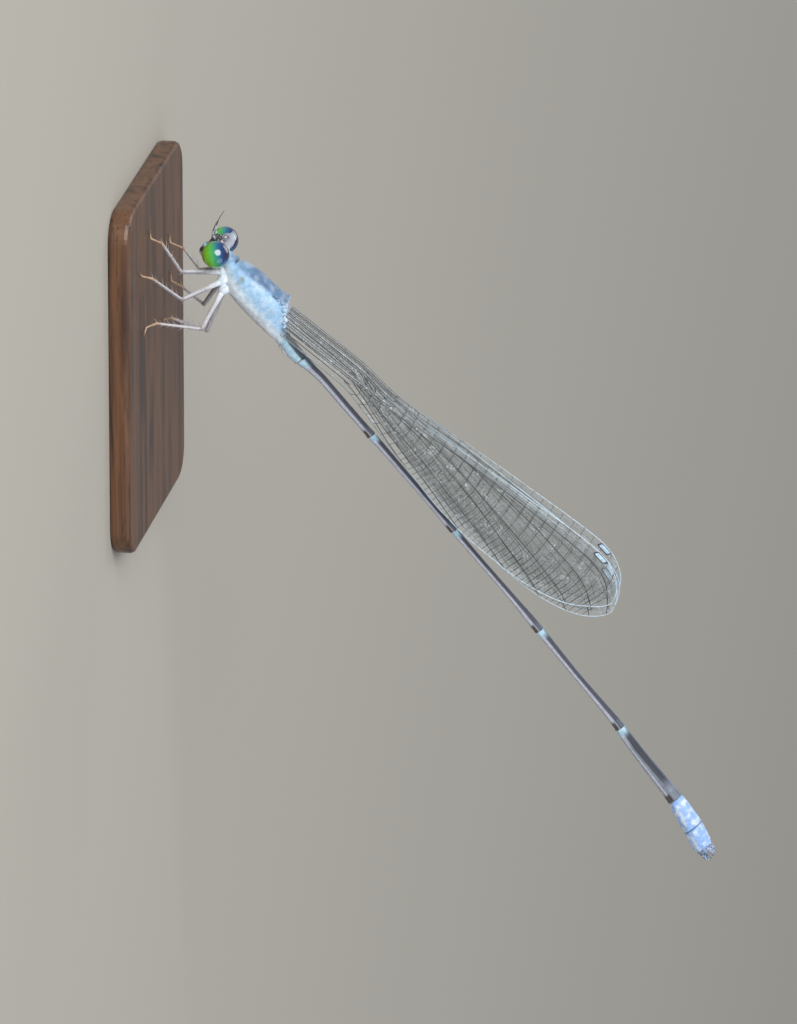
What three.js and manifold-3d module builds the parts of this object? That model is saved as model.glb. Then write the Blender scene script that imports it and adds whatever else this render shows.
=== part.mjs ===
// A slender damselfly at rest on a small wooden base, its wings folded over its back.
// Life size, in millimetres, +Z up. +X runs along the base towards the tail, and +Y is the
// animal's right. The origin is the middle of the base's underside.
//
// Three frames are nested, as the animal is:
//   the base top, where the feet stand;
//   the body, whose x runs from head to tail, tipped tail up, with z towards the back;
//   the head and the wings, each turned once more in the body's frame.
import * as THREE from "three";
import { mergeVertices } from "three/addons/utils/BufferGeometryUtils.js";
import Module from "manifold-3d";

const wasm = await Module();
wasm.setup();

// Pose: angles in degrees, and where the body's frame stands above the base top.
const BODY_PITCH = 39;
const HEAD_NOD = 22;
const WING_LIFT = 12.9;
const BODY_AT = { x: 2.59, z: 7.87 };

// Clearance between neighbouring pieces, and the least thickness of a slender one.
const GAP = 0.27;
const THINNEST = 0.5;

const BASE = { length: 20.5, width: 16, thickness: 1.2, bevel: 0.25, corner: 1.6, middle: 3.75 };

// Head, in its own frame: x to the back of the head, z to the crown, y to the right.
const HEAD = {
  at: { x: -6.52, z: -0.08 },
  waist: 0.46,
  flare: 0.68,
  flareAt: 1.04,
  neckLength: 0.62,
  neckRadius: 0.27,
};
const EYE = { radius: 0.79, centre: 1.35, depth: 0.8 };
const ANTENNA = { root: 0.25, tip: 0.07, lengths: [0.35, 0.95] };

// Trunk sections in the body's frame: x, the lowest and highest z, the width, and the lean
// of the section in degrees, positive where its upper edge is further forward.
const PROTHORAX = [
  { x: -5.66, low: -0.52, high: 0.22, wide: 0.8, lean: 0 },
  { x: -5.48, low: -0.72, high: 0.36, wide: 1.15, lean: 0 },
  { x: -5.33, low: -0.8, high: 0.42, wide: 1.3, lean: 0 },
];
const THORAX = [
  { x: -5.06, low: -0.98, high: 0.5, wide: 1.4, lean: 0 },
  { x: -4.7, low: -1.18, high: 0.66, wide: 1.75, lean: 4 },
  { x: -4.1, low: -1.33, high: 0.84, wide: 2.05, lean: 8 },
  { x: -3.4, low: -1.3, high: 1.0, wide: 2.2, lean: 12 },
  { x: -2.6, low: -1.22, high: 1.14, wide: 2.2, lean: 16 },
  { x: -1.9, low: -1.13, high: 1.18, wide: 2.05, lean: 20 },
  { x: -1.4, low: -1.06, high: 1.14, wide: 1.75, lean: 23 },
  { x: -1.0, low: -0.96, high: 0.98, wide: 1.3, lean: 26 },
];

// Abdomen: the middle line's height at some distances from the body frame's origin, then
// each length's end and its depth at the front, the middle and the rear.
const ABDOMEN_LINE = [
  [-0.6, -0.53],
  [1.4, -0.5],
  [4, -0.21],
  [10, 0.04],
  [17, 0.3],
  [24, 0.48],
  [29.5, 0.57],
  [34.8, 0.47],
  [36.8, 0.24],
  [38.9, -0.12],
];
const ABDOMEN_FRONT = -0.63;
const ABDOMEN = [
  { name: "abdomen_s1", end: -0.08, depths: [0.86, 0.84, 0.82], lean: 16 },
  { name: "abdomen_s2", end: 1.42, depths: [0.84, 0.86, 0.74], lean: 0 },
  { name: "abdomen_s3", end: 7.35, depths: [0.72, 0.5, 0.53], lean: 0 },
  { name: "abdomen_s4", end: 14.6, depths: [0.53, 0.5, 0.54], lean: 0 },
  { name: "abdomen_s5", end: 22.2, depths: [0.54, 0.5, 0.56], lean: 0 },
  { name: "abdomen_s6", end: 29.55, depths: [0.55, 0.5, 0.62], lean: 0 },
  { name: "abdomen_s7", end: 34.8, depths: [0.62, 0.74, 0.9], lean: 0 },
  { name: "abdomen_s8", end: 36.75, depths: [0.98, 1.12, 1.22], lean: 0 },
  { name: "abdomen_s9", end: 37.9, depths: [1.2, 1.22, 1.16], lean: 0 },
  { name: "abdomen_s10", end: 38.5, depths: [1.1, 1.0, 0.84], lean: 0 },
];
const ABDOMEN_SLIMNESS = 0.92;
const TAIL_HOOKS = { length: 0.5, root: 0.2, aside: 0.2, upper: 0.24, lower: -0.22 };

// Wings, in a frame whose x is their long axis: leading and trailing edges as x, z pairs.
const WING_AT = { x: -1.4, z: 0.54 };
const WING_THICKNESS = THINNEST;
const WING_COLUMNS = 32;
const VEINS = 7;
const VEIN_RIDGE = 0.07;
const CROSSVEIN_RIDGE = 0.035;
const FORE_WING = {
  middle: 0.4,
  lead: [
    [0.35, 0.34],
    [5.0, 0.43],
    [8.2, 0.17],
    [11.5, 0.31],
    [17.2, 0.47],
    [22.1, 0.52],
    [23.7, 0.34],
    [24.7, -0.2],
    [25.3, -1.15],
  ],
  trail: [
    [0.35, -0.36],
    [5.0, -0.44],
    [6.9, -0.85],
    [9.2, -1.68],
    [11.5, -2.36],
    [14.3, -2.98],
    [17.2, -3.42],
    [19.5, -3.66],
    [21.2, -3.6],
    [22.9, -3.32],
    [24.1, -2.87],
    [24.9, -2.27],
    [25.3, -1.55],
  ],
};
const HIND_WING = {
  middle: 1.2,
  lead: [
    [0.82, -0.31],
    [5.0, -0.19],
    [8.2, -0.06],
    [11.5, 0.31],
    [17.2, 0.75],
    [22.1, 0.99],
    [23.4, 0.72],
    [24.4, 0.1],
    [24.95, -0.75],
  ],
  trail: [
    [0.82, -1.0],
    [5.0, -1.02],
    [6.9, -1.38],
    [9.2, -2.02],
    [11.5, -2.57],
    [14.3, -3.22],
    [17.2, -3.46],
    [19.5, -3.46],
    [21.2, -3.26],
    [22.9, -2.78],
    [24.1, -2.02],
    [24.7, -1.5],
    [24.95, -1.15],
  ],
};

// Legs: the hip in the body's frame, and knee, ankle and toe above the base top.
const FEMUR_RADIUS = { hip: 0.34, knee: 0.27 };
const TIBIA_RADIUS = { knee: 0.26, ankle: 0.25 };
const TARSUS_RADIUS = { ankle: 0.25, toe: 0.14 };
const FOOT_LEVEL = 0.25;
const SPINE = { length: 0.62, root: 0.1, every: 0.42, rows: [-62, 62] };
const HIPS = {
  fore: { x: -5.5, side: 0.34, z: -1.3 },
  mid: { x: -4.98, side: 0.5, z: -1.6 },
  hind: { x: -4.42, side: 0.52, z: -1.92 },
};
const LEGS = [
  { pair: "fore", side: -1, knee: [-1.49, -2.0, 1.84], ankle: [-3.1, -2.0, 0.85], toe: [-3.75, -2.05] },
  { pair: "fore", side: 1, knee: [0.09, 3.2, 1.92], ankle: [-1.0, 3.5, 1.0], toe: [-1.8, 3.5] },
  { pair: "mid", side: -1, knee: [-0.32, -3.4, 2.14], ankle: [-1.8, -4.3, 0.72], toe: [-2.3, -5.1] },
  { pair: "mid", side: 1, knee: [2.1, 3.1, 2.13], ankle: [1.32, 3.7, 0.8], toe: [0.62, 3.85] },
  { pair: "hind", side: -1, knee: [1.71, -2.4, 3.07], ankle: [1.25, -3.2, 0.75], toe: [1.7, -3.95] },
  { pair: "hind", side: 1, knee: [3.19, 1.6, 2.59], ankle: [2.45, 1.35, 0.75], toe: [2.9, 1.75] },
];

// Finishes
const finish = (color, roughness, metalness = 0) =>
  new THREE.MeshStandardMaterial({ color, roughness, metalness });
const PRUINOSE_BLUE = finish(0x8fb4dc, 0.75);
const PALE_GREY = finish(0xb8bcc8, 0.6);
const GREEN_EYE = finish(0x3fa347, 0.15);
const DARK_STRIPE = finish(0x5d6676, 0.5);
const POWDER_BLUE = finish(0xa9c7f0, 0.8);
const LEG_GREY = finish(0xb9b6b4, 0.5);
const WING_GREY = finish(0x8d9499, 0.25);
const WALNUT = finish(0x4a3020, 0.45);

const radians = THREE.MathUtils.degToRad;
const lerp = THREE.MathUtils.lerp;

// Geometry helpers

// Closed skin over rings of equally many points, each running anticlockwise as seen from
// further along, with a fan over either end.
function loft(rings) {
  const sides = rings[0].length;
  const points = rings.flat();
  const faces = [];
  for (let ring = 0; ring + 1 < rings.length; ring++) {
    for (let side = 0; side < sides; side++) {
      const next = (side + 1) % sides;
      const a = ring * sides + side;
      const b = ring * sides + next;
      faces.push(a, b, b + sides, a, b + sides, a + sides);
    }
  }
  const lastRing = (rings.length - 1) * sides;
  const frontMiddle = points.length;
  points.push(middleOf(rings[0]));
  points.push(middleOf(rings[rings.length - 1]));
  for (let side = 0; side < sides; side++) {
    const next = (side + 1) % sides;
    faces.push(frontMiddle, next, side);
    faces.push(frontMiddle + 1, lastRing + side, lastRing + next);
  }
  return geometryOf(points, faces);
}

function middleOf(points) {
  const sum = points.reduce((total, point) => total.add(point), new THREE.Vector3());
  return sum.divideScalar(points.length);
}

function geometryOf(points, faces) {
  const geometry = new THREE.BufferGeometry().setFromPoints(points);
  geometry.setIndex(faces);
  return geometry;
}

// A round or squarish upright section of the trunk, in the body's frame.
function trunkRing({ x, low, high, wide, lean }, sides) {
  const middle = (low + high) / 2;
  const slope = Math.tan(radians(lean));
  return Array.from({ length: sides }, (_, i) => {
    const angle = (2 * Math.PI * (i + 0.5)) / sides;
    const rise = (Math.sin(angle) * (high - low)) / 2;
    return new THREE.Vector3(x - rise * slope, (Math.cos(angle) * wide) / 2, middle + rise);
  });
}

// A straight or bent rod with a radius at each point.
function rod(points, radii, sides) {
  const rings = points.map((point, i) => {
    const before = points[Math.max(i - 1, 0)];
    const after = points[Math.min(i + 1, points.length - 1)];
    const along = after.clone().sub(before).normalize();
    const guide = Math.abs(along.z) < 0.9 ? new THREE.Vector3(0, 0, 1) : new THREE.Vector3(1, 0, 0);
    const across = guide.clone().cross(along).normalize();
    const over = along.clone().cross(across);
    return Array.from({ length: sides }, (_, side) => {
      const angle = (2 * Math.PI * (side + 0.5)) / sides;
      return point
        .clone()
        .addScaledVector(across, radii[i] * Math.cos(angle))
        .addScaledVector(over, radii[i] * Math.sin(angle));
    });
  });
  return loft(rings);
}

// A pointed spike with a four-sided root.
function spike(root, tip, radius) {
  const sides = 4;
  const prism = rod([root, tip], [radius, radius], sides);
  const points = prism.attributes.position;
  const faces = [];
  for (let side = 0; side < sides; side++) {
    const next = (side + 1) % sides;
    faces.push(side, next, sides, sides + 1, next, side);
  }
  const ring = Array.from({ length: sides }, (_, i) => new THREE.Vector3().fromBufferAttribute(points, i));
  return geometryOf([...ring, tip, root], faces);
}

function solidOf(geometry) {
  const bare = geometry.clone();
  bare.deleteAttribute("normal");
  bare.deleteAttribute("uv");
  const merged = mergeVertices(bare, 1e-5);
  return new wasm.Manifold(
    new wasm.Mesh({
      numProp: 3,
      vertProperties: merged.attributes.position.array,
      triVerts: new Uint32Array(merged.index.array),
    }),
  );
}

function geometryOfSolid(solid) {
  const mesh = solid.getMesh();
  const geometry = new THREE.BufferGeometry();
  geometry.setAttribute("position", new THREE.BufferAttribute(mesh.vertProperties, 3));
  geometry.setIndex(new THREE.BufferAttribute(mesh.triVerts, 1));
  return geometry;
}

// Joins the pieces to the core and keeps the largest closed body.
function fuse(core, pieces) {
  const joined = pieces.reduce((sum, piece) => sum.add(solidOf(piece)), solidOf(core));
  const bodies = joined.decompose().sort((a, b) => b.volume() - a.volume());
  return geometryOfSolid(bodies[0]);
}

function keepOneSide(geometry, normal, distance) {
  return geometryOfSolid(solidOf(geometry).trimByPlane(normal, distance));
}

function piece(name, geometry, material) {
  geometry.computeVertexNormals();
  const mesh = new THREE.Mesh(geometry, material);
  mesh.name = name;
  return mesh;
}

function ellipsoid(centre, half, segments) {
  const geometry = new THREE.SphereGeometry(1, segments, Math.round(segments * 0.6));
  geometry.scale(...half);
  geometry.translate(...centre);
  return geometry;
}

// Smooth height at x through a list of x, z pairs.
function heightThrough(pairs) {
  const curve = new THREE.CatmullRomCurve3(
    pairs.map(([x, z]) => new THREE.Vector3(x, 0, z)),
    false,
    "centripetal",
  );
  const samples = curve.getPoints(pairs.length * 12);
  return (x) => {
    const after = Math.max(1, samples.findIndex((point) => point.x >= x));
    const from = samples[after - 1];
    const to = samples[after];
    const share = THREE.MathUtils.clamp((x - from.x) / Math.max(to.x - from.x, 1e-6), 0, 1);
    return lerp(from.z, to.z, share);
  };
}

// Base

function makeBase() {
  const { length, width, thickness, bevel, corner } = BASE;
  const inset = bevel;
  const x = length / 2 - inset;
  const y = width / 2 - inset;
  const outline = new THREE.Shape();
  outline.moveTo(-x + corner, -y);
  outline.lineTo(x - corner, -y);
  outline.absarc(x - corner, -y + corner, corner, -Math.PI / 2, 0);
  outline.lineTo(x, y - corner);
  outline.absarc(x - corner, y - corner, corner, 0, Math.PI / 2);
  outline.lineTo(-x + corner, y);
  outline.absarc(-x + corner, y - corner, corner, Math.PI / 2, Math.PI);
  outline.lineTo(-x, -y + corner);
  outline.absarc(-x + corner, -y + corner, corner, Math.PI, 1.5 * Math.PI);
  const geometry = new THREE.ExtrudeGeometry(outline, {
    depth: thickness - 2 * bevel,
    bevelThickness: bevel,
    bevelSize: bevel,
    bevelSegments: 2,
    curveSegments: 5,
  });
  geometry.translate(BASE.middle, 0, bevel - thickness);
  return piece("stand_base", geometry, WALNUT);
}

// Head

// The capsule is waisted like a dumb-bell between the eyes, with the face in front.
function makeHead() {
  const { waist, flare, flareAt, neckLength, neckRadius } = HEAD;
  const steps = 8;
  const profile = [new THREE.Vector2(0, -flareAt)];
  for (let i = 0; i <= steps; i++) {
    const y = lerp(-flareAt, flareAt, i / steps);
    profile.push(new THREE.Vector2(lerp(waist, flare, (y / flareAt) ** 2), y));
  }
  profile.push(new THREE.Vector2(0, flareAt));
  const capsule = new THREE.LatheGeometry(profile, 20);
  const vertex = ellipsoid([-0.2, 0, 0.24], [0.42, 0.62, 0.4], 14);
  const frons = ellipsoid([-0.42, 0, -0.12], [0.36, 0.7, 0.42], 14);
  const muzzle = ellipsoid([-0.52, 0, -0.5], [0.4, 0.5, 0.42], 14);
  const neck = rod(
    [new THREE.Vector3(0, 0, -0.08), new THREE.Vector3(neckLength, 0, -0.17)],
    [neckRadius, neckRadius],
    10,
  );
  return piece("head", fuse(capsule, [vertex, frons, muzzle, neck]), PALE_GREY);
}

// Each eye is the outer part of a ball, flat where it faces the capsule's end.
function makeEye(name, side) {
  const { radius, centre, depth } = EYE;
  const flat = HEAD.flareAt + GAP;
  const ball = new THREE.SphereGeometry(1, 24, 16);
  ball.scale(radius, depth, radius);
  ball.translate(0, side * centre, 0);
  return piece(name, keepOneSide(ball, [0, side, 0], flat), GREEN_EYE);
}

function makeAntenna(name, side) {
  const [stout, thin] = ANTENNA.lengths;
  const root = new THREE.Vector3(-0.72, side * 0.34, 0.44);
  const bend = root.clone().add(new THREE.Vector3(-0.75, side * 0.3, 0.45).setLength(stout));
  const tip = bend.clone().add(new THREE.Vector3(-0.35, side * 0.45, 0.9).setLength(thin));
  const radii = [ANTENNA.root, ANTENNA.root * 0.72, ANTENNA.tip];
  return piece(name, rod([root, bend, tip], radii, 7), DARK_STRIPE);
}

// Trunk

function makeTrunk(name, stations, sides) {
  const rings = stations.map((station) => trunkRing(station, sides));
  return piece(name, loft(rings), PRUINOSE_BLUE);
}

// One length of the abdomen, a little swollen at its ends, set on the sagging middle line.
function makeAbdomenLength(index, middleAt) {
  const { name, end, depths, lean } = ABDOMEN[index];
  const front = (index ? ABDOMEN[index - 1].end : ABDOMEN_FRONT) + (index ? GAP / 2 : 0);
  const rear = end - (index + 1 < ABDOMEN.length ? GAP / 2 : 0);
  const length = rear - front;
  const steps = Math.max(2, 2 * Math.ceil(length / 2.4));
  const [atFront, atMiddle, atRear] = depths;
  const rings = [];
  for (let i = 0; i <= steps; i++) {
    const share = i / steps;
    const toEnd = Math.abs(2 * share - 1) ** 2;
    const depth = lerp(atMiddle, share < 0.5 ? atFront : atRear, toEnd);
    const x = lerp(front, rear, share);
    const middle = middleAt(x);
    rings.push(
      trunkRing(
        {
          x,
          low: middle - depth / 2,
          high: middle + depth / 2,
          wide: depth * ABDOMEN_SLIMNESS,
          lean: lerp(lean, ABDOMEN[Math.min(index + 1, ABDOMEN.length - 1)].lean, share),
        },
        10,
      ),
    );
  }
  let geometry = loft(rings);
  if (index === ABDOMEN.length - 1) geometry = fuse(geometry, tailHooks(rear, middleAt(rear)));
  return piece(name, geometry, index < 2 ? PRUINOSE_BLUE : index > 6 ? POWDER_BLUE : DARK_STRIPE);
}

// The two upper and two lower hooks at the tail's end.
function tailHooks(x, middle) {
  const { length, root, aside, upper, lower } = TAIL_HOOKS;
  const hooks = [];
  for (const side of [-1, 1]) {
    for (const [rise, reach] of [[upper, 0.85], [lower, 1]]) {
      const from = new THREE.Vector3(x - 0.15, side * aside, middle + rise);
      const to = new THREE.Vector3(x + length * reach, side * aside * 0.7, middle + rise * 0.85);
      hooks.push(spike(from, to, root));
    }
  }
  return hooks;
}

// Wings

// A plate of even thickness whose veins stand up from both faces: the long veins run from
// root to margin in rows, and the crossveins join them in columns.
function makeWing(name, shape, side) {
  const lead = heightThrough(shape.lead);
  const trail = heightThrough(shape.trail);
  const root = shape.lead[0][0];
  const tip = shape.lead[shape.lead.length - 1][0];
  const rows = 2 * (VEINS - 1);
  const points = [];
  for (const face of [-1, 1]) {
    for (let column = 0; column <= WING_COLUMNS; column++) {
      const share = Math.sin((Math.PI / 2) * (column / WING_COLUMNS) ** 0.8);
      const x = lerp(root, tip, share * 0.45 + (column / WING_COLUMNS) * 0.55);
      for (let row = 0; row <= rows; row++) {
        const z = lerp(trail(x), lead(x), row / rows);
        const onVein = row % 2 === 0;
        const onCrossvein = column % 2 === 0;
        const ridge = onVein ? VEIN_RIDGE : onCrossvein ? CROSSVEIN_RIDGE : 0;
        const y = side * shape.middle + face * (WING_THICKNESS / 2 + ridge);
        points.push(new THREE.Vector3(x, y, z));
      }
    }
  }
  return piece(name, plate(points, WING_COLUMNS, rows), WING_GREY);
}

// Joins two like grids of points, the first at lower y, into one closed plate.
function plate(points, columns, rows) {
  const stride = rows + 1;
  const other = (columns + 1) * stride;
  const faces = [];
  for (let column = 0; column < columns; column++) {
    for (let row = 0; row < rows; row++) {
      const a = column * stride + row;
      const b = a + stride;
      faces.push(a, b, b + 1, a, b + 1, a + 1);
      faces.push(a + other, b + 1 + other, b + other, a + other, a + 1 + other, b + 1 + other);
    }
  }
  const rim = [];
  for (let column = 0; column < columns; column++) rim.push(column * stride);
  for (let row = 0; row < rows; row++) rim.push(columns * stride + row);
  for (let column = columns; column > 0; column--) rim.push(column * stride + rows);
  for (let row = rows; row > 0; row--) rim.push(row);
  rim.forEach((a, i) => {
    const b = rim[(i + 1) % rim.length];
    faces.push(a, a + other, b, b, a + other, b + other);
  });
  return geometryOf(points, faces);
}

// Legs

function bodyPoint({ x, side, z }, sign) {
  const pitch = radians(BODY_PITCH);
  return new THREE.Vector3(
    BODY_AT.x + x * Math.cos(pitch) - z * Math.sin(pitch),
    sign * side,
    BODY_AT.z + x * Math.sin(pitch) + z * Math.cos(pitch),
  );
}

// Shortens the stretch between two joints by half a gap at the ends asked for.
function between(from, to, atFrom, atTo) {
  const along = to.clone().sub(from).normalize();
  return [
    from.clone().addScaledVector(along, atFrom),
    to.clone().addScaledVector(along, -atTo),
  ];
}

// Two rows of stiff bristles down the underside of a leg's length, leaning to the foot.
function spines(from, to, radius) {
  const along = to.clone().sub(from);
  const length = along.length();
  along.normalize();
  const count = Math.floor((length - 0.5) / SPINE.every);
  const down = new THREE.Vector3(0, 0, -1).addScaledVector(along, along.z).normalize();
  const pieces = [];
  for (const row of SPINE.rows) {
    const out = down.clone().applyAxisAngle(along, radians(row));
    const lean = out.clone().addScaledVector(along, 0.7).normalize();
    for (let i = 0; i < count; i++) {
      const root = from.clone().addScaledVector(along, 0.3 + (i + (row > 0 ? 0.5 : 0)) * SPINE.every);
      root.addScaledVector(out, radius * 0.45);
      const tip = root.clone().addScaledVector(lean, radius * 0.5 + SPINE.length);
      pieces.push(spike(root, tip, SPINE.root));
    }
  }
  return pieces;
}

function makeLeg({ pair, side, knee, ankle, toe }) {
  const name = `${pair}_${side < 0 ? "left" : "right"}`;
  const hipAt = bodyPoint(HIPS[pair], side);
  const kneeAt = new THREE.Vector3(...knee);
  const ankleAt = new THREE.Vector3(...ankle);
  const landing = new THREE.Vector3(
    lerp(ankle[0], toe[0], 0.45),
    lerp(ankle[1], toe[1], 0.45),
    FOOT_LEVEL + TARSUS_RADIUS.ankle * 0.8,
  );
  const toeAt = new THREE.Vector3(toe[0], toe[1], FOOT_LEVEL + TARSUS_RADIUS.toe * 0.7);

  const femurLine = between(hipAt, kneeAt, 0, GAP / 2);
  const tibiaLine = between(kneeAt, ankleAt, GAP / 2, GAP / 2);
  const tarsusStart = between(ankleAt, landing, GAP / 2, 0)[0];

  const femur = rod(femurLine, [FEMUR_RADIUS.hip, FEMUR_RADIUS.knee], 8);
  const tibia = rod(tibiaLine, [TIBIA_RADIUS.knee, TIBIA_RADIUS.ankle], 8);
  const tarsus = rod(
    [tarsusStart, landing, toeAt],
    [TARSUS_RADIUS.ankle, TARSUS_RADIUS.ankle * 0.9, TARSUS_RADIUS.toe],
    8,
  );
  const feet = tarsus.attributes.position;
  for (let i = 0; i < feet.count; i++) feet.setZ(i, Math.max(feet.getZ(i), FOOT_LEVEL));

  return [
    piece(`femur_${name}`, femur, LEG_GREY),
    piece(`tibia_${name}`, fuse(tibia, spines(...tibiaLine, TIBIA_RADIUS.ankle)), LEG_GREY),
    piece(`tarsus_${name}`, tarsus, LEG_GREY),
  ];
}

// Assembly

const damselfly = new THREE.Group();
damselfly.position.set(-BASE.middle, 0, BASE.thickness);
damselfly.add(makeBase());
for (const leg of LEGS) damselfly.add(...makeLeg(leg));

const body = new THREE.Group();
body.position.set(BODY_AT.x, 0, BODY_AT.z);
body.rotation.y = -radians(BODY_PITCH);
damselfly.add(body);
body.add(makeTrunk("prothorax", PROTHORAX, 16));
body.add(makeTrunk("thorax", THORAX, 18));
const abdomenMiddle = heightThrough(ABDOMEN_LINE);
ABDOMEN.forEach((_, index) => body.add(makeAbdomenLength(index, abdomenMiddle)));

const head = new THREE.Group();
head.position.set(HEAD.at.x, 0, HEAD.at.z);
head.rotation.y = -radians(HEAD_NOD);
body.add(head);
head.add(makeHead());

const wings = new THREE.Group();
wings.position.set(WING_AT.x, 0, WING_AT.z);
wings.rotation.y = -radians(WING_LIFT);
body.add(wings);

for (const [name, side] of [["left", -1], ["right", 1]]) {
  head.add(makeEye(`eye_${name}`, side));
  head.add(makeAntenna(`antenna_${name}`, side));
  wings.add(makeWing(`wing_fore_${name}`, FORE_WING, side));
  wings.add(makeWing(`wing_hind_${name}`, HIND_WING, side));
}

export default damselfly;
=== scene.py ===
"""A slender damselfly at rest on a small walnut base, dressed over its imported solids.

Sizes are in millimetres in the dataclasses and turned to metres where meshes are made.
Three frames are nested: the base top, the body tipped tail up, and the head or the wings.
"""

import logging
import math
import random
from dataclasses import dataclass, field
from enum import Enum

import bpy
import numpy as np
from mathutils import Matrix, Vector, noise

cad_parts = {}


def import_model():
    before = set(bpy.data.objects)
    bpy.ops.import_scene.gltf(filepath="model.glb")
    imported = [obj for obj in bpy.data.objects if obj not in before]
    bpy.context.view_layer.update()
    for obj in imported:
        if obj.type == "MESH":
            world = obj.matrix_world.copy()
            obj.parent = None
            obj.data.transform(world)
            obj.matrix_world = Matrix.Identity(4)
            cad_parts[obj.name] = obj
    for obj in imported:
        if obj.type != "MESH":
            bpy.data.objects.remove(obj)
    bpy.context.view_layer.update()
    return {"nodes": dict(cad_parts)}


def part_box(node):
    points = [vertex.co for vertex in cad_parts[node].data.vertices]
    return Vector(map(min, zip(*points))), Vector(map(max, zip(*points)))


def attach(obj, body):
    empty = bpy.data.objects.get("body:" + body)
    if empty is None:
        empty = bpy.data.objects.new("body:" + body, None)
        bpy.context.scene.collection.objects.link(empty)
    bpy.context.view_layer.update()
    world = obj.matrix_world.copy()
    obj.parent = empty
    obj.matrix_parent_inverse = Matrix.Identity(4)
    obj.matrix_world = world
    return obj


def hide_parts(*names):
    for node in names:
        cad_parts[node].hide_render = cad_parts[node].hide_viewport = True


LOG = logging.getLogger("damselfly")
MM = 0.001
ROOT_BODY = "root"
PHOTO_SIZE = (797, 1024)
PHOTO_PX_PER_MM = 17.5
Pair = tuple[float, float]
Triple = tuple[float, float, float]
Solid = tuple[np.ndarray, list[tuple[int, ...]]]
Piece = bpy.types.Object
Material = bpy.types.Material
Tree = bpy.types.NodeTree
Socket = bpy.types.NodeSocket


class Side(Enum):
    """The animal's left and right, as the sign of y."""

    LEFT = -1
    RIGHT = 1

    @property
    def word(self) -> str:
        """The side's name in a node's name."""
        return self.name.lower()


# Numbers and colours


def linear(colour: str) -> np.ndarray:
    """Turns an sRGB hex colour to linear light.

    Args:
        colour: the colour as "#rrggbb".

    Returns:
        Three linear values.
    """
    parts = np.array([int(colour[i : i + 2], 16) / 255 for i in (1, 3, 5)])
    return np.where(parts <= 0.04045, parts / 12.92, ((parts + 0.055) / 1.055) ** 2.4)


def socket_colour(colour: str) -> tuple[float, float, float, float]:
    """A hex colour as a shader socket's four linear values."""
    return (*linear(colour).tolist(), 1.0)


def ramp(values: np.ndarray, start: float, end: float) -> np.ndarray:
    """Rises smoothly from 0 at start to 1 at end, or falls where end is below start.

    Args:
        values: where to read the ramp.
        start: the value at which it is 0.
        end: the value at which it is 1.

    Returns:
        The ramp's height at each value.
    """
    share = np.clip((values - start) / (end - start), 0.0, 1.0)
    return share * share * (3 - 2 * share)


def through(pairs: tuple[Pair, ...], at: np.ndarray) -> np.ndarray:
    """Reads a smooth, monotone-friendly curve through a few points.

    Args:
        pairs: the points, as position and height, in order of position.
        at: the positions to read.

    Returns:
        The height at each position.
    """
    xs, ys = (np.array(column, float) for column in zip(*pairs))
    steps, rises = np.diff(xs), np.diff(ys)
    slopes = rises / steps
    tangents = np.zeros_like(xs)
    tangents[0], tangents[-1] = slopes[0], slopes[-1]
    before, after = slopes[:-1], slopes[1:]
    same_way = before * after > 0
    total = np.where(same_way, before + after, 1.0)
    tangents[1:-1] = np.where(same_way, 2 * before * after / total, 0.0)
    cell = np.clip(np.searchsorted(xs, at) - 1, 0, len(steps) - 1)
    t = np.clip((at - xs[cell]) / steps[cell], 0.0, 1.0)
    h00, h10 = (1 + 2 * t) * (1 - t) ** 2, t * (1 - t) ** 2
    h01, h11 = t * t * (3 - 2 * t), t * t * (t - 1)
    span = steps[cell]
    near, far = h00 * ys[cell], h01 * ys[cell + 1]
    return near + h10 * span * tangents[cell] + far + h11 * span * tangents[cell + 1]


def cloudy(points: np.ndarray, size: float) -> np.ndarray:
    """A soft random pattern from about -1 to 1.

    Args:
        points: where to read it, in millimetres.
        size: how wide its clouds are, in millimetres.

    Returns:
        The pattern at each point.
    """
    return np.array([noise.noise(Vector(point)) for point in (points / size).tolist()])


def along_polyline(points: np.ndarray, spacing: float) -> np.ndarray:
    """Puts points at even steps along a bent line.

    Args:
        points: the line's corners.
        spacing: the longest step.

    Returns:
        The evenly spaced points, both ends among them.
    """
    lengths = np.r_[0, np.cumsum(np.linalg.norm(np.diff(points, axis=0), axis=1))]
    count = max(2, int(math.ceil(lengths[-1] / spacing)) + 1)
    marks = np.linspace(0, lengths[-1], count)
    return np.stack([np.interp(marks, lengths, points[:, k]) for k in range(points.shape[1])], 1)


def bell(values: np.ndarray, middle: float, width: float) -> np.ndarray:
    """A smooth hump: 1 at its middle, about a third one width away."""
    return np.exp(-(((values - middle) / width) ** 2))


def line_distance(x: np.ndarray, z: np.ndarray, line: list[Pair]) -> np.ndarray:
    """Distance from points to a bent line in the x, z plane.

    Args:
        x: the points' first coordinates.
        z: the points' second coordinates.
        line: the line's corners.

    Returns:
        Each point's distance to the nearest stretch of the line.
    """
    best = np.full(x.shape, 1e9)
    for (ax, az), (bx, bz) in zip(line, line[1:]):
        dx, dz = bx - ax, bz - az
        share = np.clip(((x - ax) * dx + (z - az) * dz) / (dx * dx + dz * dz), 0, 1)
        best = np.minimum(best, np.hypot(x - ax - share * dx, z - az - share * dz))
    return best


# Frames


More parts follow.
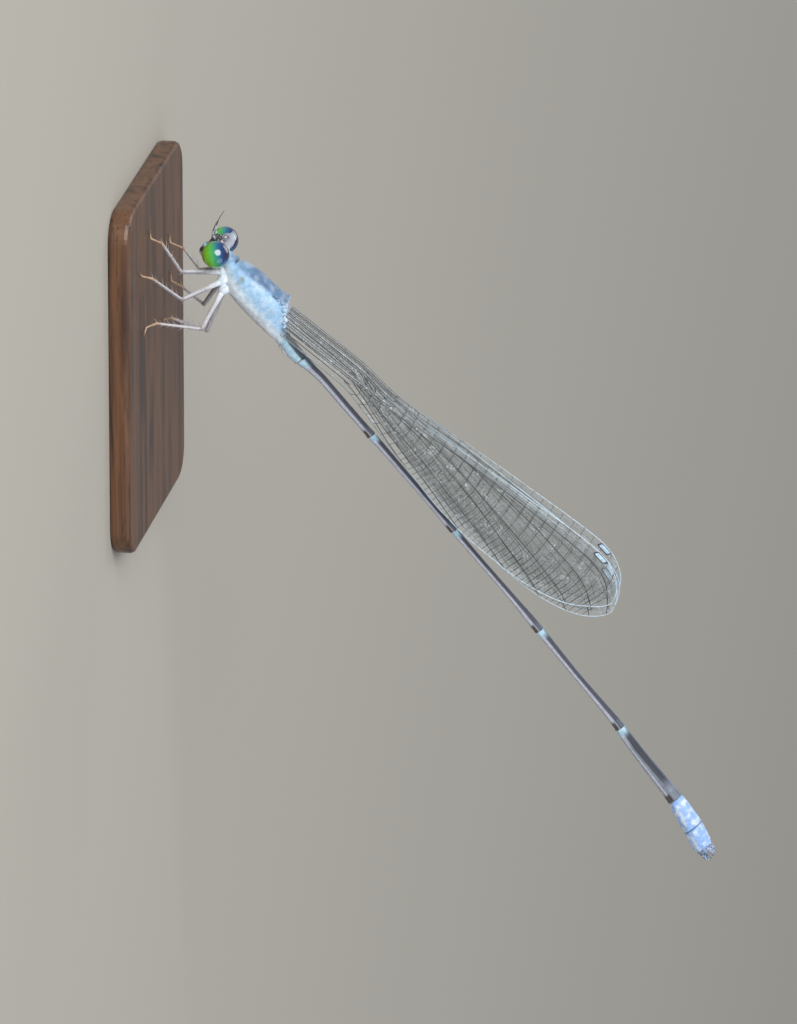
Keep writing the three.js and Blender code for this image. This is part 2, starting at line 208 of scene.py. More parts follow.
@dataclass(frozen=True)
class Frame:
    """A right-handed frame: its origin in millimetres and its axes as a matrix's columns."""

    origin: np.ndarray
    axes: np.ndarray

    def child(self, x: float, z: float, lift: float) -> "Frame":
        """A frame inside this one, pitched up about y.

        Args:
            x: the child's origin along x.
            z: the child's origin along z.
            lift: its pitch in degrees, positive where its x axis rises.

        Returns:
            The child frame.
        """
        a = math.radians(lift)
        turn = np.array([[math.cos(a), 0, -math.sin(a)], [0, 1, 0], [math.sin(a), 0, math.cos(a)]])
        return Frame(self.origin + self.axes @ np.array([x, 0, z]), self.axes @ turn)

    def out(self, points: np.ndarray) -> np.ndarray:
        """Takes local points to the model's frame, still in millimetres."""
        return self.origin + np.asarray(points, float) @ self.axes.T

    def local(self, points: np.ndarray) -> np.ndarray:
        """Takes points in the model's frame to this frame."""
        return (np.asarray(points, float) - self.origin) @ self.axes


@dataclass(frozen=True)
class Pose:
    """How the animal stands: angles in degrees and places in millimetres."""

    base_middle: float = 3.75
    body_pitch: float = 39.0
    body_x: float = 2.59
    body_z: float = 7.87
    head_x: float = -6.52
    head_z: float = -0.08
    head_nod: float = 22.0
    wings_x: float = -1.4
    wings_z: float = 0.54
    wings_lift: float = 12.9

    def base_top(self) -> Frame:
        """The frame on the base top, read from the base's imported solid."""
        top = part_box("stand_base")[1][2] / MM
        return Frame(np.array([-self.base_middle, 0.0, top]), np.eye(3))

    def body(self) -> Frame:
        """The body's frame: x to the tail, z to the back."""
        return self.base_top().child(self.body_x, self.body_z, self.body_pitch)

    def head(self) -> Frame:
        """The head's frame: x to the neck, z to the crown."""
        return self.body().child(self.head_x, self.head_z, self.head_nod)

    def wings(self) -> Frame:
        """The wings' frame: x along the folded wings."""
        return self.body().child(self.wings_x, self.wings_z, self.wings_lift)


# Meshes


def mesh_piece(
    name: str,
    points: np.ndarray,
    faces: list[tuple[int, ...]],
    finish: Material | None = None,
    unit: float = MM,
    edges: list[tuple[int, int]] | None = None,
) -> Piece:
    """Makes a smooth-shaded object at the origin from points in millimetres.

    Args:
        name: the piece's name.
        points: its points in the model's frame, in millimetres.
        faces: its faces as point numbers, anticlockwise from outside.
        finish: its material, where it has one from the start.
        unit: a millimetre's length in the mesh, 1 where solids are still to be joined.
        edges: its edges, where it is a net of lines.

    Returns:
        The linked object.
    """
    mesh = bpy.data.meshes.new(name)
    mesh.from_pydata((np.asarray(points) * unit).tolist(), edges or [], faces)
    mesh.shade_smooth()
    mesh.update()
    if finish:
        mesh.materials.append(finish)
    piece = bpy.data.objects.new(name, mesh)
    bpy.context.scene.collection.objects.link(piece)
    return piece


def points_of(piece: Piece) -> np.ndarray:
    """The piece's points in millimetres, one row each."""
    flat = np.zeros(len(piece.data.vertices) * 3, np.float32)
    piece.data.vertices.foreach_get("co", flat)
    return flat.reshape(-1, 3).astype(float) / MM


def loft_faces(rings: int, sides: int) -> list[tuple[int, ...]]:
    """Faces of a closed skin over rings of points, with one flat face at either end.

    Args:
        rings: how many rings there are.
        sides: how many points each ring has, anticlockwise seen from further along.

    Returns:
        The faces as point numbers.
    """
    faces = []
    for ring in range(rings - 1):
        for side in range(sides):
            a, b = ring * sides + side, ring * sides + (side + 1) % sides
            faces.append((a, b, b + sides, a + sides))
    faces.append(tuple(reversed(range(sides))))
    faces.append(tuple(range((rings - 1) * sides, rings * sides)))
    return faces


def tube(path: np.ndarray, radii: np.ndarray, sides: int) -> Solid:
    """Lofts a round tube along a path, its rings kept from twisting.

    Args:
        path: the middle line, one point a row.
        radii: the radius at each point.
        sides: points round each ring.

    Returns:
        The tube's points and faces.
    """
    tangents = np.gradient(path, axis=0)
    tangents /= np.linalg.norm(tangents, axis=1, keepdims=True)
    up = np.array([0.0, 0.0, 1.0]) if abs(tangents[0][2]) < 0.9 else np.array([1.0, 0.0, 0.0])
    across = np.cross(up, tangents[0])
    angles = np.arange(sides) * 2 * math.pi / sides
    rings = []
    for point, tangent, radius in zip(path, tangents, radii):
        across = across - tangent * (across @ tangent)
        across /= np.linalg.norm(across)
        over = np.cross(tangent, across)
        aside = radius * np.outer(np.cos(angles), across)
        rings.append(point + aside + radius * np.outer(np.sin(angles), over))
    return np.concatenate(rings), loft_faces(len(path), sides)


def ball(centre: Triple, half: Triple, rings: int) -> Solid:
    """An ellipsoid's points and faces.

    Args:
        centre: its middle.
        half: its half sizes along x, y and z.
        rings: how many rings run between its poles.

    Returns:
        The points and faces.
    """
    sides = rings * 2
    points = [(0.0, -1.0, 0.0)]
    for i in range(1, rings):
        y, r = -math.cos(math.pi * i / rings), math.sin(math.pi * i / rings)
        for k in range(sides):
            a = 2 * math.pi * k / sides
            points.append((r * math.sin(a), y, r * math.cos(a)))
    points.append((0.0, 1.0, 0.0))
    faces = [(0, 1 + (k + 1) % sides, 1 + k) for k in range(sides)]
    for i in range(rings - 2):
        for k in range(sides):
            a, b = 1 + i * sides + k, 1 + i * sides + (k + 1) % sides
            faces.append((a, b, b + sides, a + sides))
    last, first = len(points) - 1, 1 + (rings - 2) * sides
    faces += [(last, first + k, first + (k + 1) % sides) for k in range(sides)]
    return np.array(points) * half + centre, faces


def gather(parts: list[Solid]) -> Solid:
    """Joins several lists of points and faces into one."""
    points, faces, start = [], [], 0
    for part_points, part_faces in parts:
        points.append(part_points)
        faces += [tuple(i + start for i in face) for face in part_faces]
        start += len(part_points)
    return np.concatenate(points), faces


def apply_modifiers(piece: Piece) -> Piece:
    """Turns a piece with its modifiers into a plain mesh and removes them."""
    depsgraph = bpy.context.evaluated_depsgraph_get()
    made = bpy.data.meshes.new_from_object(piece.evaluated_get(depsgraph))
    old = piece.data
    piece.modifiers.clear()
    piece.data = made
    made.name = piece.name
    if old.users == 0:
        bpy.data.meshes.remove(old)
    made.shade_smooth()
    return piece


def fuse(core: Piece, others: list[Piece]) -> Piece:
    """Unites closed pieces into one skin and removes the others.

    Args:
        core: the piece that is kept.
        others: the pieces that are joined to it.

    Returns:
        The core, now one closed mesh.
    """
    group = bpy.data.collections.new("to_join")
    for other in others:
        group.objects.link(other)
    union = core.modifiers.new("union", "BOOLEAN")
    union.operation = "UNION"
    union.operand_type = "COLLECTION"
    union.collection = group
    union.solver = "MANIFOLD"
    apply_modifiers(core)
    for other in others:
        bpy.data.objects.remove(other)
    bpy.data.collections.remove(group)
    return core


def remesh(piece: Piece, voxel: float, smoothing: int) -> Piece:
    """Melts overlapping closed parts into one even skin.

    Args:
        piece: the piece to melt together.
        voxel: the mesh size, in millimetres.
        smoothing: how many times the skin is evened out.

    Returns:
        The piece.
    """
    melt = piece.modifiers.new("melt", "REMESH")
    melt.mode = "VOXEL"
    melt.voxel_size = voxel
    melt.use_smooth_shade = True
    even = piece.modifiers.new("even", "SMOOTH")
    even.iterations = smoothing
    even.factor = 0.5
    return apply_modifiers(piece)


def paint(piece: Piece, name: str, colours: np.ndarray) -> None:
    """Stores linear colours on the piece's points.

    Args:
        piece: the piece to paint.
        name: the attribute's name.
        colours: one row of three linear values for each point.
    """
    layer = piece.data.color_attributes.new(name, "FLOAT_COLOR", "POINT")
    rgba = np.ones((len(colours), 4), np.float32)
    rgba[:, :3] = colours
    layer.data.foreach_set("color", rgba.ravel())


def store(piece: Piece, name: str, values: np.ndarray) -> None:
    """Stores one number on each of the piece's points, under a name."""
    layer = piece.data.attributes.new(name, "FLOAT", "POINT")
    layer.data.foreach_set("value", values.astype(np.float32))


def lay(coat: np.ndarray, colour: str, cover: np.ndarray) -> None:
    """Lays a colour over a painted coat where the cover says, in place."""
    share = np.clip(cover, 0.0, 1.0)[:, None]
    coat += (linear(colour) - coat) * share


# Node trees


def node(tree: Tree, kind: str, inputs: dict | None = None, **settings: object) -> bpy.types.Node:
    """Adds one node with its settings, values and links.

    Args:
        tree: the tree it goes in.
        kind: the node's type.
        inputs: for each socket, by name or number, a value or the output that feeds it.
        settings: the node's own properties.

    Returns:
        The node.
    """
    made = tree.nodes.new(kind)
    for key, value in settings.items():
        setattr(made, key, value)
    for key, value in (inputs or {}).items():
        if isinstance(value, Socket):
            tree.links.new(value, made.inputs[key])
        else:
            made.inputs[key].default_value = value
    return made


def reckon(tree: Tree, operation: str, *values: Socket | float) -> Socket:
    """Works out one sum, such as a product, on numbers or outputs."""
    return node(tree, "ShaderNodeMath", dict(enumerate(values)), operation=operation).outputs["Value"]


def new_growth(name: str, numbers: tuple[str, ...]) -> tuple[Tree, bpy.types.Node]:
    """Starts a Geometry Nodes tree.

    Args:
        name: the tree's name.
        numbers: the names of its number inputs, which follow the geometry.

    Returns:
        The tree and its input node.
    """
    tree = bpy.data.node_groups.new(name, "GeometryNodeTree")
    tree.interface.new_socket("Geometry", in_out="INPUT", socket_type="NodeSocketGeometry")
    for number in numbers:
        tree.interface.new_socket(number, in_out="INPUT", socket_type="NodeSocketFloat")
    tree.interface.new_socket("Geometry", in_out="OUTPUT", socket_type="NodeSocketGeometry")
    return tree, node(tree, "NodeGroupInput")


def end_growth(tree: Tree, geometry: Socket, finish: Material) -> Tree:
    """Ends a Geometry Nodes tree with real meshes in one finish.

    Args:
        tree: the tree.
        geometry: the output that holds all its geometry.
        finish: the material of that geometry.

    Returns:
        The tree.
    """
    real = node(tree, "GeometryNodeRealizeInstances", {"Geometry": geometry})
    inputs = {"Geometry": real.outputs["Geometry"], "Material": finish}
    dressed = node(tree, "GeometryNodeSetMaterial", inputs)
    node(tree, "NodeGroupOutput", {"Geometry": dressed.outputs["Geometry"]})
    return tree


def grow(piece: Piece, tree: Tree, numbers: dict[str, float]) -> Piece:
    """Runs a Geometry Nodes tree on a piece and keeps the mesh that it makes.

    Args:
        piece: the piece, whose mesh feeds the tree.
        tree: the tree.
        numbers: a value for each of its number inputs.

    Returns:
        The piece, now a plain mesh.
    """
    modifier = piece.modifiers.new(tree.name, "NODES")
    modifier.node_group = tree
    for socket in tree.interface.items_tree:
        if socket.name in numbers:
            modifier[socket.identifier] = numbers[socket.name]
    return apply_modifiers(piece)


# Materials


def new_material(name: str) -> tuple[Material, Tree]:
    """Makes an empty material and gives it with its tree."""
    material = bpy.data.materials.new(name)
    material.use_nodes = True
    material.node_tree.nodes.clear()
    return material, material.node_tree


def shaded(material: Material, inputs: dict) -> Material:
    """Puts a Principled shader on a material's output, with these sockets set or fed."""
    shader = node(material.node_tree, "ShaderNodeBsdfPrincipled", inputs)
    node(material.node_tree, "ShaderNodeOutputMaterial", {"Surface": shader.outputs["BSDF"]})
    return material


def object_place(tree: Tree, per_mm: float, along: float = 1.0) -> Socket:
    """Object coordinates counted in steps of a real size.

    Args:
        tree: the material's tree.
        per_mm: how many steps fit in a millimetre.
        along: the share of that count along x, below 1 where a pattern is drawn out.

    Returns:
        The vector output.
    """
    place = node(tree, "ShaderNodeTexCoord").outputs["Object"]
    scale = per_mm / MM
    inputs = {"Vector": place, "Scale": (scale * along, scale, scale)}
    return node(tree, "ShaderNodeMapping", inputs).outputs["Vector"]


def grain(tree: Tree, per_mm: float, detail: float, along: float = 1.0, **more: float) -> Socket:
    """A soft random pattern of a real size.

    Args:
        tree: the material's tree.
        per_mm: how many of its clouds fit in a millimetre.
        detail: how many finer patterns lie on it.
        along: the share of that count along x.
        more: the noise node's other sockets.

    Returns:
        The pattern's output, about a half on average.
    """
    inputs = {"Vector": object_place(tree, per_mm, along), "Scale": 1.0, "Detail": detail, **more}
    return node(tree, "ShaderNodeTexNoise", inputs).outputs["Fac"]


def stretch(
    tree: Tree, value: Socket, given: Pair, wanted: Pair = (0.0, 1.0)
) -> Socket:
    """Maps one range of a value to another and stops at its ends."""
    ends = dict(zip(("From Min", "From Max", "To Min", "To Max"), given + wanted))
    return node(tree, "ShaderNodeMapRange", {"Value": value, **ends}).outputs["Result"]


def around_one(tree: Tree, pattern: Socket, reach: float) -> Socket:
    """Spreads a random pattern to a factor that wanders about 1."""
    return stretch(tree, pattern, (0.3, 0.7), (1 - reach, 1 + reach))


def scaled(tree: Tree, colour: Socket | tuple[float, ...], factor: Socket) -> Socket:
    """A colour made lighter or darker by a factor."""
    inputs = {0: colour, "Scale": factor}
    return node(tree, "ShaderNodeVectorMath", inputs, operation="SCALE").outputs["Vector"]


def relief(tree: Tree, height: Socket, strength: float, depth_mm: float, **settings: bool) -> Socket:
    """Fine relief from a pattern of heights, as a bent normal."""
    inputs = {"Height": height, "Strength": strength, "Distance": depth_mm * MM}
    return node(tree, "ShaderNodeBump", inputs, **settings).outputs["Normal"]


def blend(tree: Tree, share: Socket, first: str, second: str) -> Socket:
    """Mixes two hex colours by a share of the second."""
    inputs = {"Factor": share, 6: socket_colour(first), 7: socket_colour(second)}
    return node(tree, "ShaderNodeMix", inputs, data_type="RGBA").outputs[2]


def banded(tree: Tree, value: Socket, stops: tuple[tuple[float, str], ...]) -> Socket:
    """Turns a value to hex colours that melt into one another.

    Args:
        tree: the material's tree.
        value: the value, from 0 to 1.
        stops: the value at which each colour is pure, and the colour.

    Returns:
        The colour output.
    """
    made = node(tree, "ShaderNodeValToRGB", {"Fac": value})
    elements = made.color_ramp.elements
    while len(elements) > 1:
        elements.remove(elements[0])
    for i, (place, colour) in enumerate(stops):
        element = elements[0] if i == 0 else elements.new(place)
        element.position = place
        element.color = socket_colour(colour)
    return made.outputs["Color"]


@dataclass(frozen=True)
class Cuticle:
    """Insect cuticle with a waxy bloom: a painted coat, cloudy flecks and a powdery, low sheen."""

    name: str
    roughness: float = 0.55
    cloud_mm: float = 0.22
    fleck_mm: float = 0.05
    cloud: float = 0.16
    fleck: float = 0.14
    relief: float = 0.12
    sheen: float = 0.25

    def build(self) -> Material:
        """Makes the finish from the piece's painted coat."""
        material, tree = new_material(self.name)
        coat = node(tree, "ShaderNodeVertexColor", layer_name="coat").outputs["Color"]
        clouds = grain(tree, 1 / self.cloud_mm, 3.0)
        flecks = grain(tree, 1 / self.fleck_mm, 2.0)
        lighter = around_one(tree, clouds, self.cloud)
        both = reckon(tree, "MULTIPLY", lighter, around_one(tree, flecks, self.fleck))
        inputs = {
            "Base Color": scaled(tree, coat, both),
            "Normal": relief(tree, flecks, self.relief, 0.02),
            "Roughness": self.roughness,
            "Sheen Weight": self.sheen,
            "Sheen Roughness": 0.5,
        }
        return shaded(material, inputs)


@dataclass(frozen=True)
class CompoundEye:
    """A compound eye: a wet-looking dome, coloured in soft bands from below to behind."""

    name: str
    frame: Frame
    centre_y: float
    radius: float
    bands: tuple[tuple[float, str], ...] = (
        (0.16, "#8fd02c"),
        (0.4, "#58bd38"),
        (0.56, "#259a63"),
        (0.68, "#12728c"),
        (0.8, "#123f7a"),
        (0.95, "#141c4a"),
    )
    facet_mm: float = 0.045
    axis_degrees: float = 45.0
    wander: float = 0.14
    wander_per_mm: float = 2.2

    def build(self) -> Material:
        """Makes the finish, its bands running along an axis of the head's own."""
        material, tree = new_material(self.name)
        a = math.radians(self.axis_degrees)
        axis = self.frame.axes @ np.array([math.cos(a), 0.0, math.sin(a)])
        centre = self.frame.out(np.array([0.0, self.centre_y, 0.0]))
        place = node(tree, "ShaderNodeTexCoord").outputs["Object"]
        inputs = {0: place, 1: tuple((centre * MM).tolist())}
        offset = node(tree, "ShaderNodeVectorMath", inputs, operation="SUBTRACT").outputs["Vector"]
        inputs = {0: offset, 1: tuple((axis / (2 * self.radius * MM)).tolist())}
        reach = node(tree, "ShaderNodeVectorMath", inputs, operation="DOT_PRODUCT").outputs["Value"]
        soft = grain(tree, self.wander_per_mm, 3.0)
        shift = reckon(tree, "MULTIPLY_ADD", soft, self.wander, 0.5 - self.wander / 2)
        inputs = {"Vector": object_place(tree, 1 / self.facet_mm), "Scale": 1.0}
        facets = node(tree, "ShaderNodeTexVoronoi", inputs).outputs["Distance"]
        inputs = {
            "Base Color": banded(tree, reckon(tree, "ADD", reach, shift), self.bands),
            "Normal": relief(tree, facets, 0.1, 0.01, invert=True),
            "Roughness": 0.2,
            "Coat Weight": 1.0,
            "Coat IOR": 1.7,
            "Coat Roughness": 0.05,
        }
        return shaded(material, inputs)


@dataclass(frozen=True)
class WingVein:
    """Chitin veins: dark brown, and ice blue where the attribute says: frost with painted highlight."""

    name: str = "wing_vein_chitin"
    dark: str = "#2b2c31"
    # ice blue of the vein margins: frost with painted highlight
    frost_and_glint: str = "#c3dcf2"
    fleck_per_mm: float = 6.0

    def build(self) -> Material:
        """Makes the finish from the veins' attribute of frost and painted highlight."""
        material, tree = new_material(self.name)
        # ice blue on the margins: frost, with a painted highlight where light glints on the veins
        frost_and_glint_share = node(tree, "ShaderNodeAttribute", attribute_name="frost_and_glint").outputs["Fac"]
        broken = stretch(tree, grain(tree, self.fleck_per_mm, 2.0), (0.32, 0.5), (0.55, 1.0))
        share = reckon(tree, "MULTIPLY", frost_and_glint_share, broken)
        colour = blend(tree, share, self.dark, self.frost_and_glint)
        return shaded(material, {"Base Color": colour, "Roughness": 0.35})


@dataclass(frozen=True)
class WingMembrane:
    """Wing membrane: thin clear chitin, smoky, with pale flecks of painted highlight and a glassy gloss."""

    name: str = "wing_membrane_chitin"
    smoke: str = "#a6afb3"
    # the pale colour of the painted highlight flecks
    dust: str = "#dfe9f2"
    opacity: float = 0.15
    dust_opacity: float = 0.75
    patch_per_mm: float = 1.6
    grain_per_mm: float = 9.0

    def build(self) -> Material:
        """Makes the finish: see-through smoke with more solid flecks of painted highlight."""
        material, tree = new_material(self.name)
        # the pale flecks are painted highlight: glints of light laid into the membrane's colour and opacity
        painted_glint_share = node(tree, "ShaderNodeAttribute", attribute_name="painted_glint_share").outputs["Fac"]
        patches = grain(tree, self.patch_per_mm, 4.0, Roughness=0.7)
        flecks = reckon(tree, "MULTIPLY", patches, grain(tree, self.grain_per_mm, 2.0))
        spread = reckon(tree, "MULTIPLY", stretch(tree, flecks, (0.29, 0.42)), painted_glint_share)
        inputs = {
            "Base Color": blend(tree, spread, self.smoke, self.dust),
            "Alpha": stretch(tree, spread, (0.0, 1.0), (self.opacity, self.dust_opacity)),
            "Roughness": 0.2,
            "Coat Weight": 0.3,
        }
        return shaded(material, inputs)


@dataclass(frozen=True)
class PlainChitin:
    """Small chitin parts of one colour, with a faint cloud and gloss."""

    name: str
    colour: str
    roughness: float = 0.4
    cloud_mm: float = 0.15
    cloud: float = 0.25

    def build(self) -> Material:
        """Makes the finish."""
        material, tree = new_material(self.name)
        strength = around_one(tree, grain(tree, 1 / self.cloud_mm, 2.0), self.cloud)
        tinted = scaled(tree, tuple(linear(self.colour).tolist()), strength)
        return shaded(material, {"Base Color": tinted, "Roughness": self.roughness})


@dataclass(frozen=True)
class Walnut:
    """Oiled walnut: brown heartwood whose grain runs along the base, with fine open pores."""

    name: str = "oiled_walnut"
    light: str = "#6b4a33"
    dark: str = "#38231a"
    ring_mm: float = 1.3
    ring_along: float = 0.08
    pore_mm: float = 0.16
    pore_along: float = 0.07

    def build(self) -> Material:
        """Makes the finish, its grain stretched along x."""
        material, tree = new_material(self.name)
        rings = grain(tree, 1 / self.ring_mm, 5.0, self.ring_along, Distortion=0.8)
        pores = grain(tree, 1 / self.pore_mm, 2.0, self.pore_along)
        wood = banded(tree, rings, ((0.32, self.dark), (0.5, self.light), (0.68, self.dark)))
        open_pores = stretch(tree, pores, (0.3, 0.45), (0.6, 1.0))
        inputs = {
            "Base Color": scaled(tree, wood, open_pores),
            "Normal": relief(tree, open_pores, 0.4, 0.03),
            "Roughness": 0.42,
            "Coat Weight": 0.15,
        }
        return shaded(material, inputs)


@dataclass(frozen=True)
class StudioFloor:
    """A matt painted floor, pale and plain."""

    name: str = "matt_studio_paint"
    colour: str = "#b9b7b0"

    def build(self) -> Material:
        """Makes the finish."""
        inputs = {"Base Color": socket_colour(self.colour), "Roughness": 0.9, "Specular IOR Level": 0.1}
        return shaded(new_material(self.name)[0], inputs)


# Trunk: prothorax, thorax and abdomen as one skin, with the head melted on


@dataclass(frozen=True)
class Coat:
    """The bloom's colours on the body, from the back down and from head to tail."""

    steel: str = "#3f6390"
    sky: str = "#98c1e6"
    pale: str = "#c0dbf2"
    white: str = "#dde9f5"
    olive: str = "#7e8a7c"
    ink: str = "#161c28"
    brown: str = "#2a1c14"
    lavender: str = "#a6acc2"
    # on the abdomen this pale blue is the bloom's own frost
    frost_and_glint: str = "#a9cfe6"
    powder: str = "#90b6f2"
    teal: str = "#2d5a70"
    grey: str = "#5c6878"
    orange: str = "#c8752e"
    blush: str = "#e6c6bd"
    plum: str = "#5d5c80"


@dataclass(frozen=True)
class HeadCoat:
    """The head's and feelers' colours, from the back of the head to the mouth."""

    back: str = "#8d93a4"
    nape: str = "#c8cede"
    rim: str = "#bfe9f5"
    face: str = "#15181d"
    crown: str = "#2a2c33"
    spot: str = "#fbf3f2"
    dots: str = "#b9bfc9"
    bar: str = "#a8d8ee"
    lip: str = "#c3ced8"
    mouth: str = "#b98a5a"
    lash: str = "#20232b"
    feeler: str = "#aab7c8"


@dataclass
class Trunk:
    """Neck to tail: sections in the body's frame, in millimetres and degrees."""

    frame: Frame
    head: Frame
    coat: Coat = field(default_factory=Coat)
    sides: int = 56
    ring_step: float = 0.1
    joint_step: float = 0.022
    sections: tuple[tuple[float, float, float, float, float], ...] = (
        # x, lowest z, highest z, width, lean of the section
        (-6.15, -0.34, 0.1, 0.46, 0),
        (-5.85, -0.46, 0.14, 0.62, 0),
        (-5.72, -0.58, 0.24, 0.86, 0),
        (-5.55, -0.74, 0.36, 1.18, 0),
        (-5.38, -0.82, 0.43, 1.32, 0),
        (-5.26, -0.84, 0.36, 1.2, 0),
        (-5.18, -0.86, 0.38, 1.22, 0),
        (-5.0, -1.0, 0.54, 1.48, 0),
        (-4.7, -1.18, 0.64, 1.78, 4),
        (-4.1, -1.33, 0.79, 2.08, 8),
        (-3.4, -1.3, 0.91, 2.22, 12),
        (-2.6, -1.22, 1.03, 2.22, 16),
        (-1.9, -1.13, 1.12, 2.08, 20),
        (-1.4, -1.08, 1.14, 1.78, 23),
        (-1.0, -1.0, 1.02, 1.4, 26),
        (-0.78, -0.99, 0.66, 1.14, 26),
        (-0.6, -0.99, 0.28, 0.98, 24),
        (-0.46, -1.0, 0.04, 0.9, 20),
        (-0.3, -1.01, -0.1, 0.86, 15),
        (-0.1, -0.99, -0.11, 0.8, 8),
        (0.05, -0.99, -0.12, 0.8, 0),
        (0.7, -1.0, -0.12, 0.82, 0),
        (1.3, -0.94, -0.13, 0.78, 0),
        (1.6, -0.84, -0.12, 0.7, 0),
        (2.1, -0.67, -0.1, 0.56, 0),
        (3.1, -0.5, 0.0, 0.48, 0),
        (5.0, -0.42, 0.06, 0.44, 0),
        (6.9, -0.34, 0.14, 0.46, 0),
        (7.3, -0.34, 0.17, 0.48, 0),
        (7.9, -0.27, 0.19, 0.44, 0),
        (10.0, -0.16, 0.24, 0.39, 0),
        (13.0, -0.05, 0.33, 0.38, 0),
        (14.3, -0.04, 0.41, 0.42, 0),
        (15.0, 0.02, 0.43, 0.4, 0),
        (17.0, 0.11, 0.49, 0.38, 0),
        (20.0, 0.21, 0.63, 0.4, 0),
        (21.9, 0.18, 0.72, 0.48, 0),
        (22.6, 0.22, 0.72, 0.46, 0),
        (25.0, 0.28, 0.7, 0.41, 0),
        (28.0, 0.32, 0.81, 0.46, 0),
        (29.3, 0.29, 0.87, 0.53, 0),
        (30.0, 0.21, 0.85, 0.58, 0),
        (31.5, 0.13, 0.84, 0.66, 0),
        (33.5, 0.06, 0.88, 0.76, 0),
        (34.7, 0.02, 0.93, 0.84, 0),
        (35.2, -0.1, 0.94, 0.94, 0),
        (36.0, -0.24, 0.91, 1.04, 0),
        (36.7, -0.36, 0.86, 1.1, 0),
        (37.2, -0.46, 0.76, 1.1, 0),
        (37.6, -0.54, 0.69, 1.06, 0),
        (37.9, -0.56, 0.61, 1.0, 0),
        (38.2, -0.5, 0.5, 0.88, 0),
        (38.45, -0.4, 0.36, 0.68, 0),
        (38.52, -0.28, 0.22, 0.44, 0),
    )
    joints: tuple[float, ...] = (-0.02, 1.42, 7.35, 14.6, 22.2, 29.55, 34.8, 36.75, 37.9)
    joint_rim: float = 0.018
    joint_cut: float = 0.035
    joint_before: float = 0.22
    joint_after: float = 0.3
    collar: Triple = (-5.45, -4.95, 0.04)
    closest_rings: float = 0.008
    squareness: float = 0.16
    fold_depth: float = 0.07
    keel_height: float = 0.03
    seam_depth: float = 0.035
    seam_width: float = 0.035
    root_plates: int = 26
    rim_spikes: int = 18
    seen_forward: float = 0.171
    seen_down: float = 0.369

    def _stations(self) -> np.ndarray:
        """Places of the rings along x, closer together at the joints."""
        first, last = self.sections[0][0], self.sections[-1][0]
        marks = [np.arange(first, last, self.ring_step), np.array([last])]
        for joint in self.joints:
            marks.append(np.arange(joint - self.joint_before, joint + self.joint_after, self.joint_step))
        marks.append(np.arange(*self.collar))
        merged = np.unique(np.round(np.concatenate(marks), 4))
        return merged[np.r_[True, np.diff(merged) > self.closest_rings]]

    def size_at(self, x: np.ndarray) -> dict[str, np.ndarray]:
        """Low and high edges, width and lean at each x."""
        names = ("low", "high", "wide", "lean")
        return {
            name: through(tuple((row[0], row[1 + k]) for row in self.sections), x)
            for k, name in enumerate(names)
        }

    def _swell(self, x: np.ndarray) -> np.ndarray:
        """How far the skin stands proud at each x: a rim before each joint, a cut after it."""
        proud = np.zeros_like(x)
        for joint in self.joints:
            rim = ramp(x, joint - 0.2, joint - 0.03) * (x < joint)
            cut = ramp(x, joint + 0.24, joint + 0.02) * (x >= joint)
            proud += self.joint_rim * rim - self.joint_cut * cut
        return proud

    def rings(self) -> np.ndarray:
        """The skin's points in the body's frame, ring after ring."""
        x = self._stations()
        size = self.size_at(x)
        proud = self._swell(x)
        angle = (np.arange(self.sides) + 0.5) * 2 * math.pi / self.sides
        cos, sin = np.cos(angle)[None], np.sin(angle)[None]
        thoracic = (ramp(x, -5.2, -4.6) * ramp(x, -0.6, -1.3))[:, None]
        power = 1 - self.squareness * thoracic
        half_y = (size["wide"] / 2 + proud)[:, None]
        half_z = ((size["high"] - size["low"]) / 2 + proud)[:, None]
        middle = ((size["high"] + size["low"]) / 2)[:, None]
        y = half_y * np.sign(cos) * np.abs(cos) ** power
        rise = half_z * np.sign(sin) * np.abs(sin) ** power
        abdomen = ramp(x, 1.4, 2.4)[:, None] * ramp(x, 38.2, 37.5)[:, None]
        fold = bell(np.abs(np.degrees(angle) - 270), 48, 7)[None]
        y *= 1 - self.fold_depth * abdomen * fold
        rise *= 1 - self.fold_depth * abdomen * fold
        keel = bell(np.degrees(angle), 90, 5)[None]
        rise += self.keel_height * thoracic * keel
        slope = np.tan(np.radians(size["lean"]))[:, None]
        points = np.stack([np.broadcast_to(x[:, None], y.shape) - rise * slope, y, middle + rise], -1)
        return self._sutures(points)

    def _sutures(self, points: np.ndarray) -> np.ndarray:
        """Presses the thorax's side seams into the rings."""
        x, y, z = points[..., 0], points[..., 1], points[..., 2]
        depth = np.zeros_like(x)
        for seam in self.seams():
            depth += bell(line_distance(x, z, seam), 0, self.seam_width)
        side = ramp(np.abs(y), 0.2, 0.5)
        points[..., 1] -= np.sign(y) * self.seam_depth * np.clip(depth, 0, 1) * side
        return points

    @staticmethod
    def seams() -> list[list[Pair]]:
        """The thorax's side seams, as x and z in the body's frame."""
        shoulder = [(-5.0, 0.12), (-4.1, 0.42), (-3.3, 0.66), (-2.5, 0.84), (-1.7, 0.92)]
        middle = [(-4.9, -0.55), (-4.3, -0.3), (-3.6, -0.35)]
        rear = [(-4.3, -0.95), (-3.3, -0.55), (-2.4, -0.2), (-1.5, 0.2), (-1.2, 0.4)]
        lower = [(-4.0, -1.15), (-3.0, -0.95), (-2.0, -0.7), (-1.1, -0.45)]
        return [shoulder, middle, rear, lower]

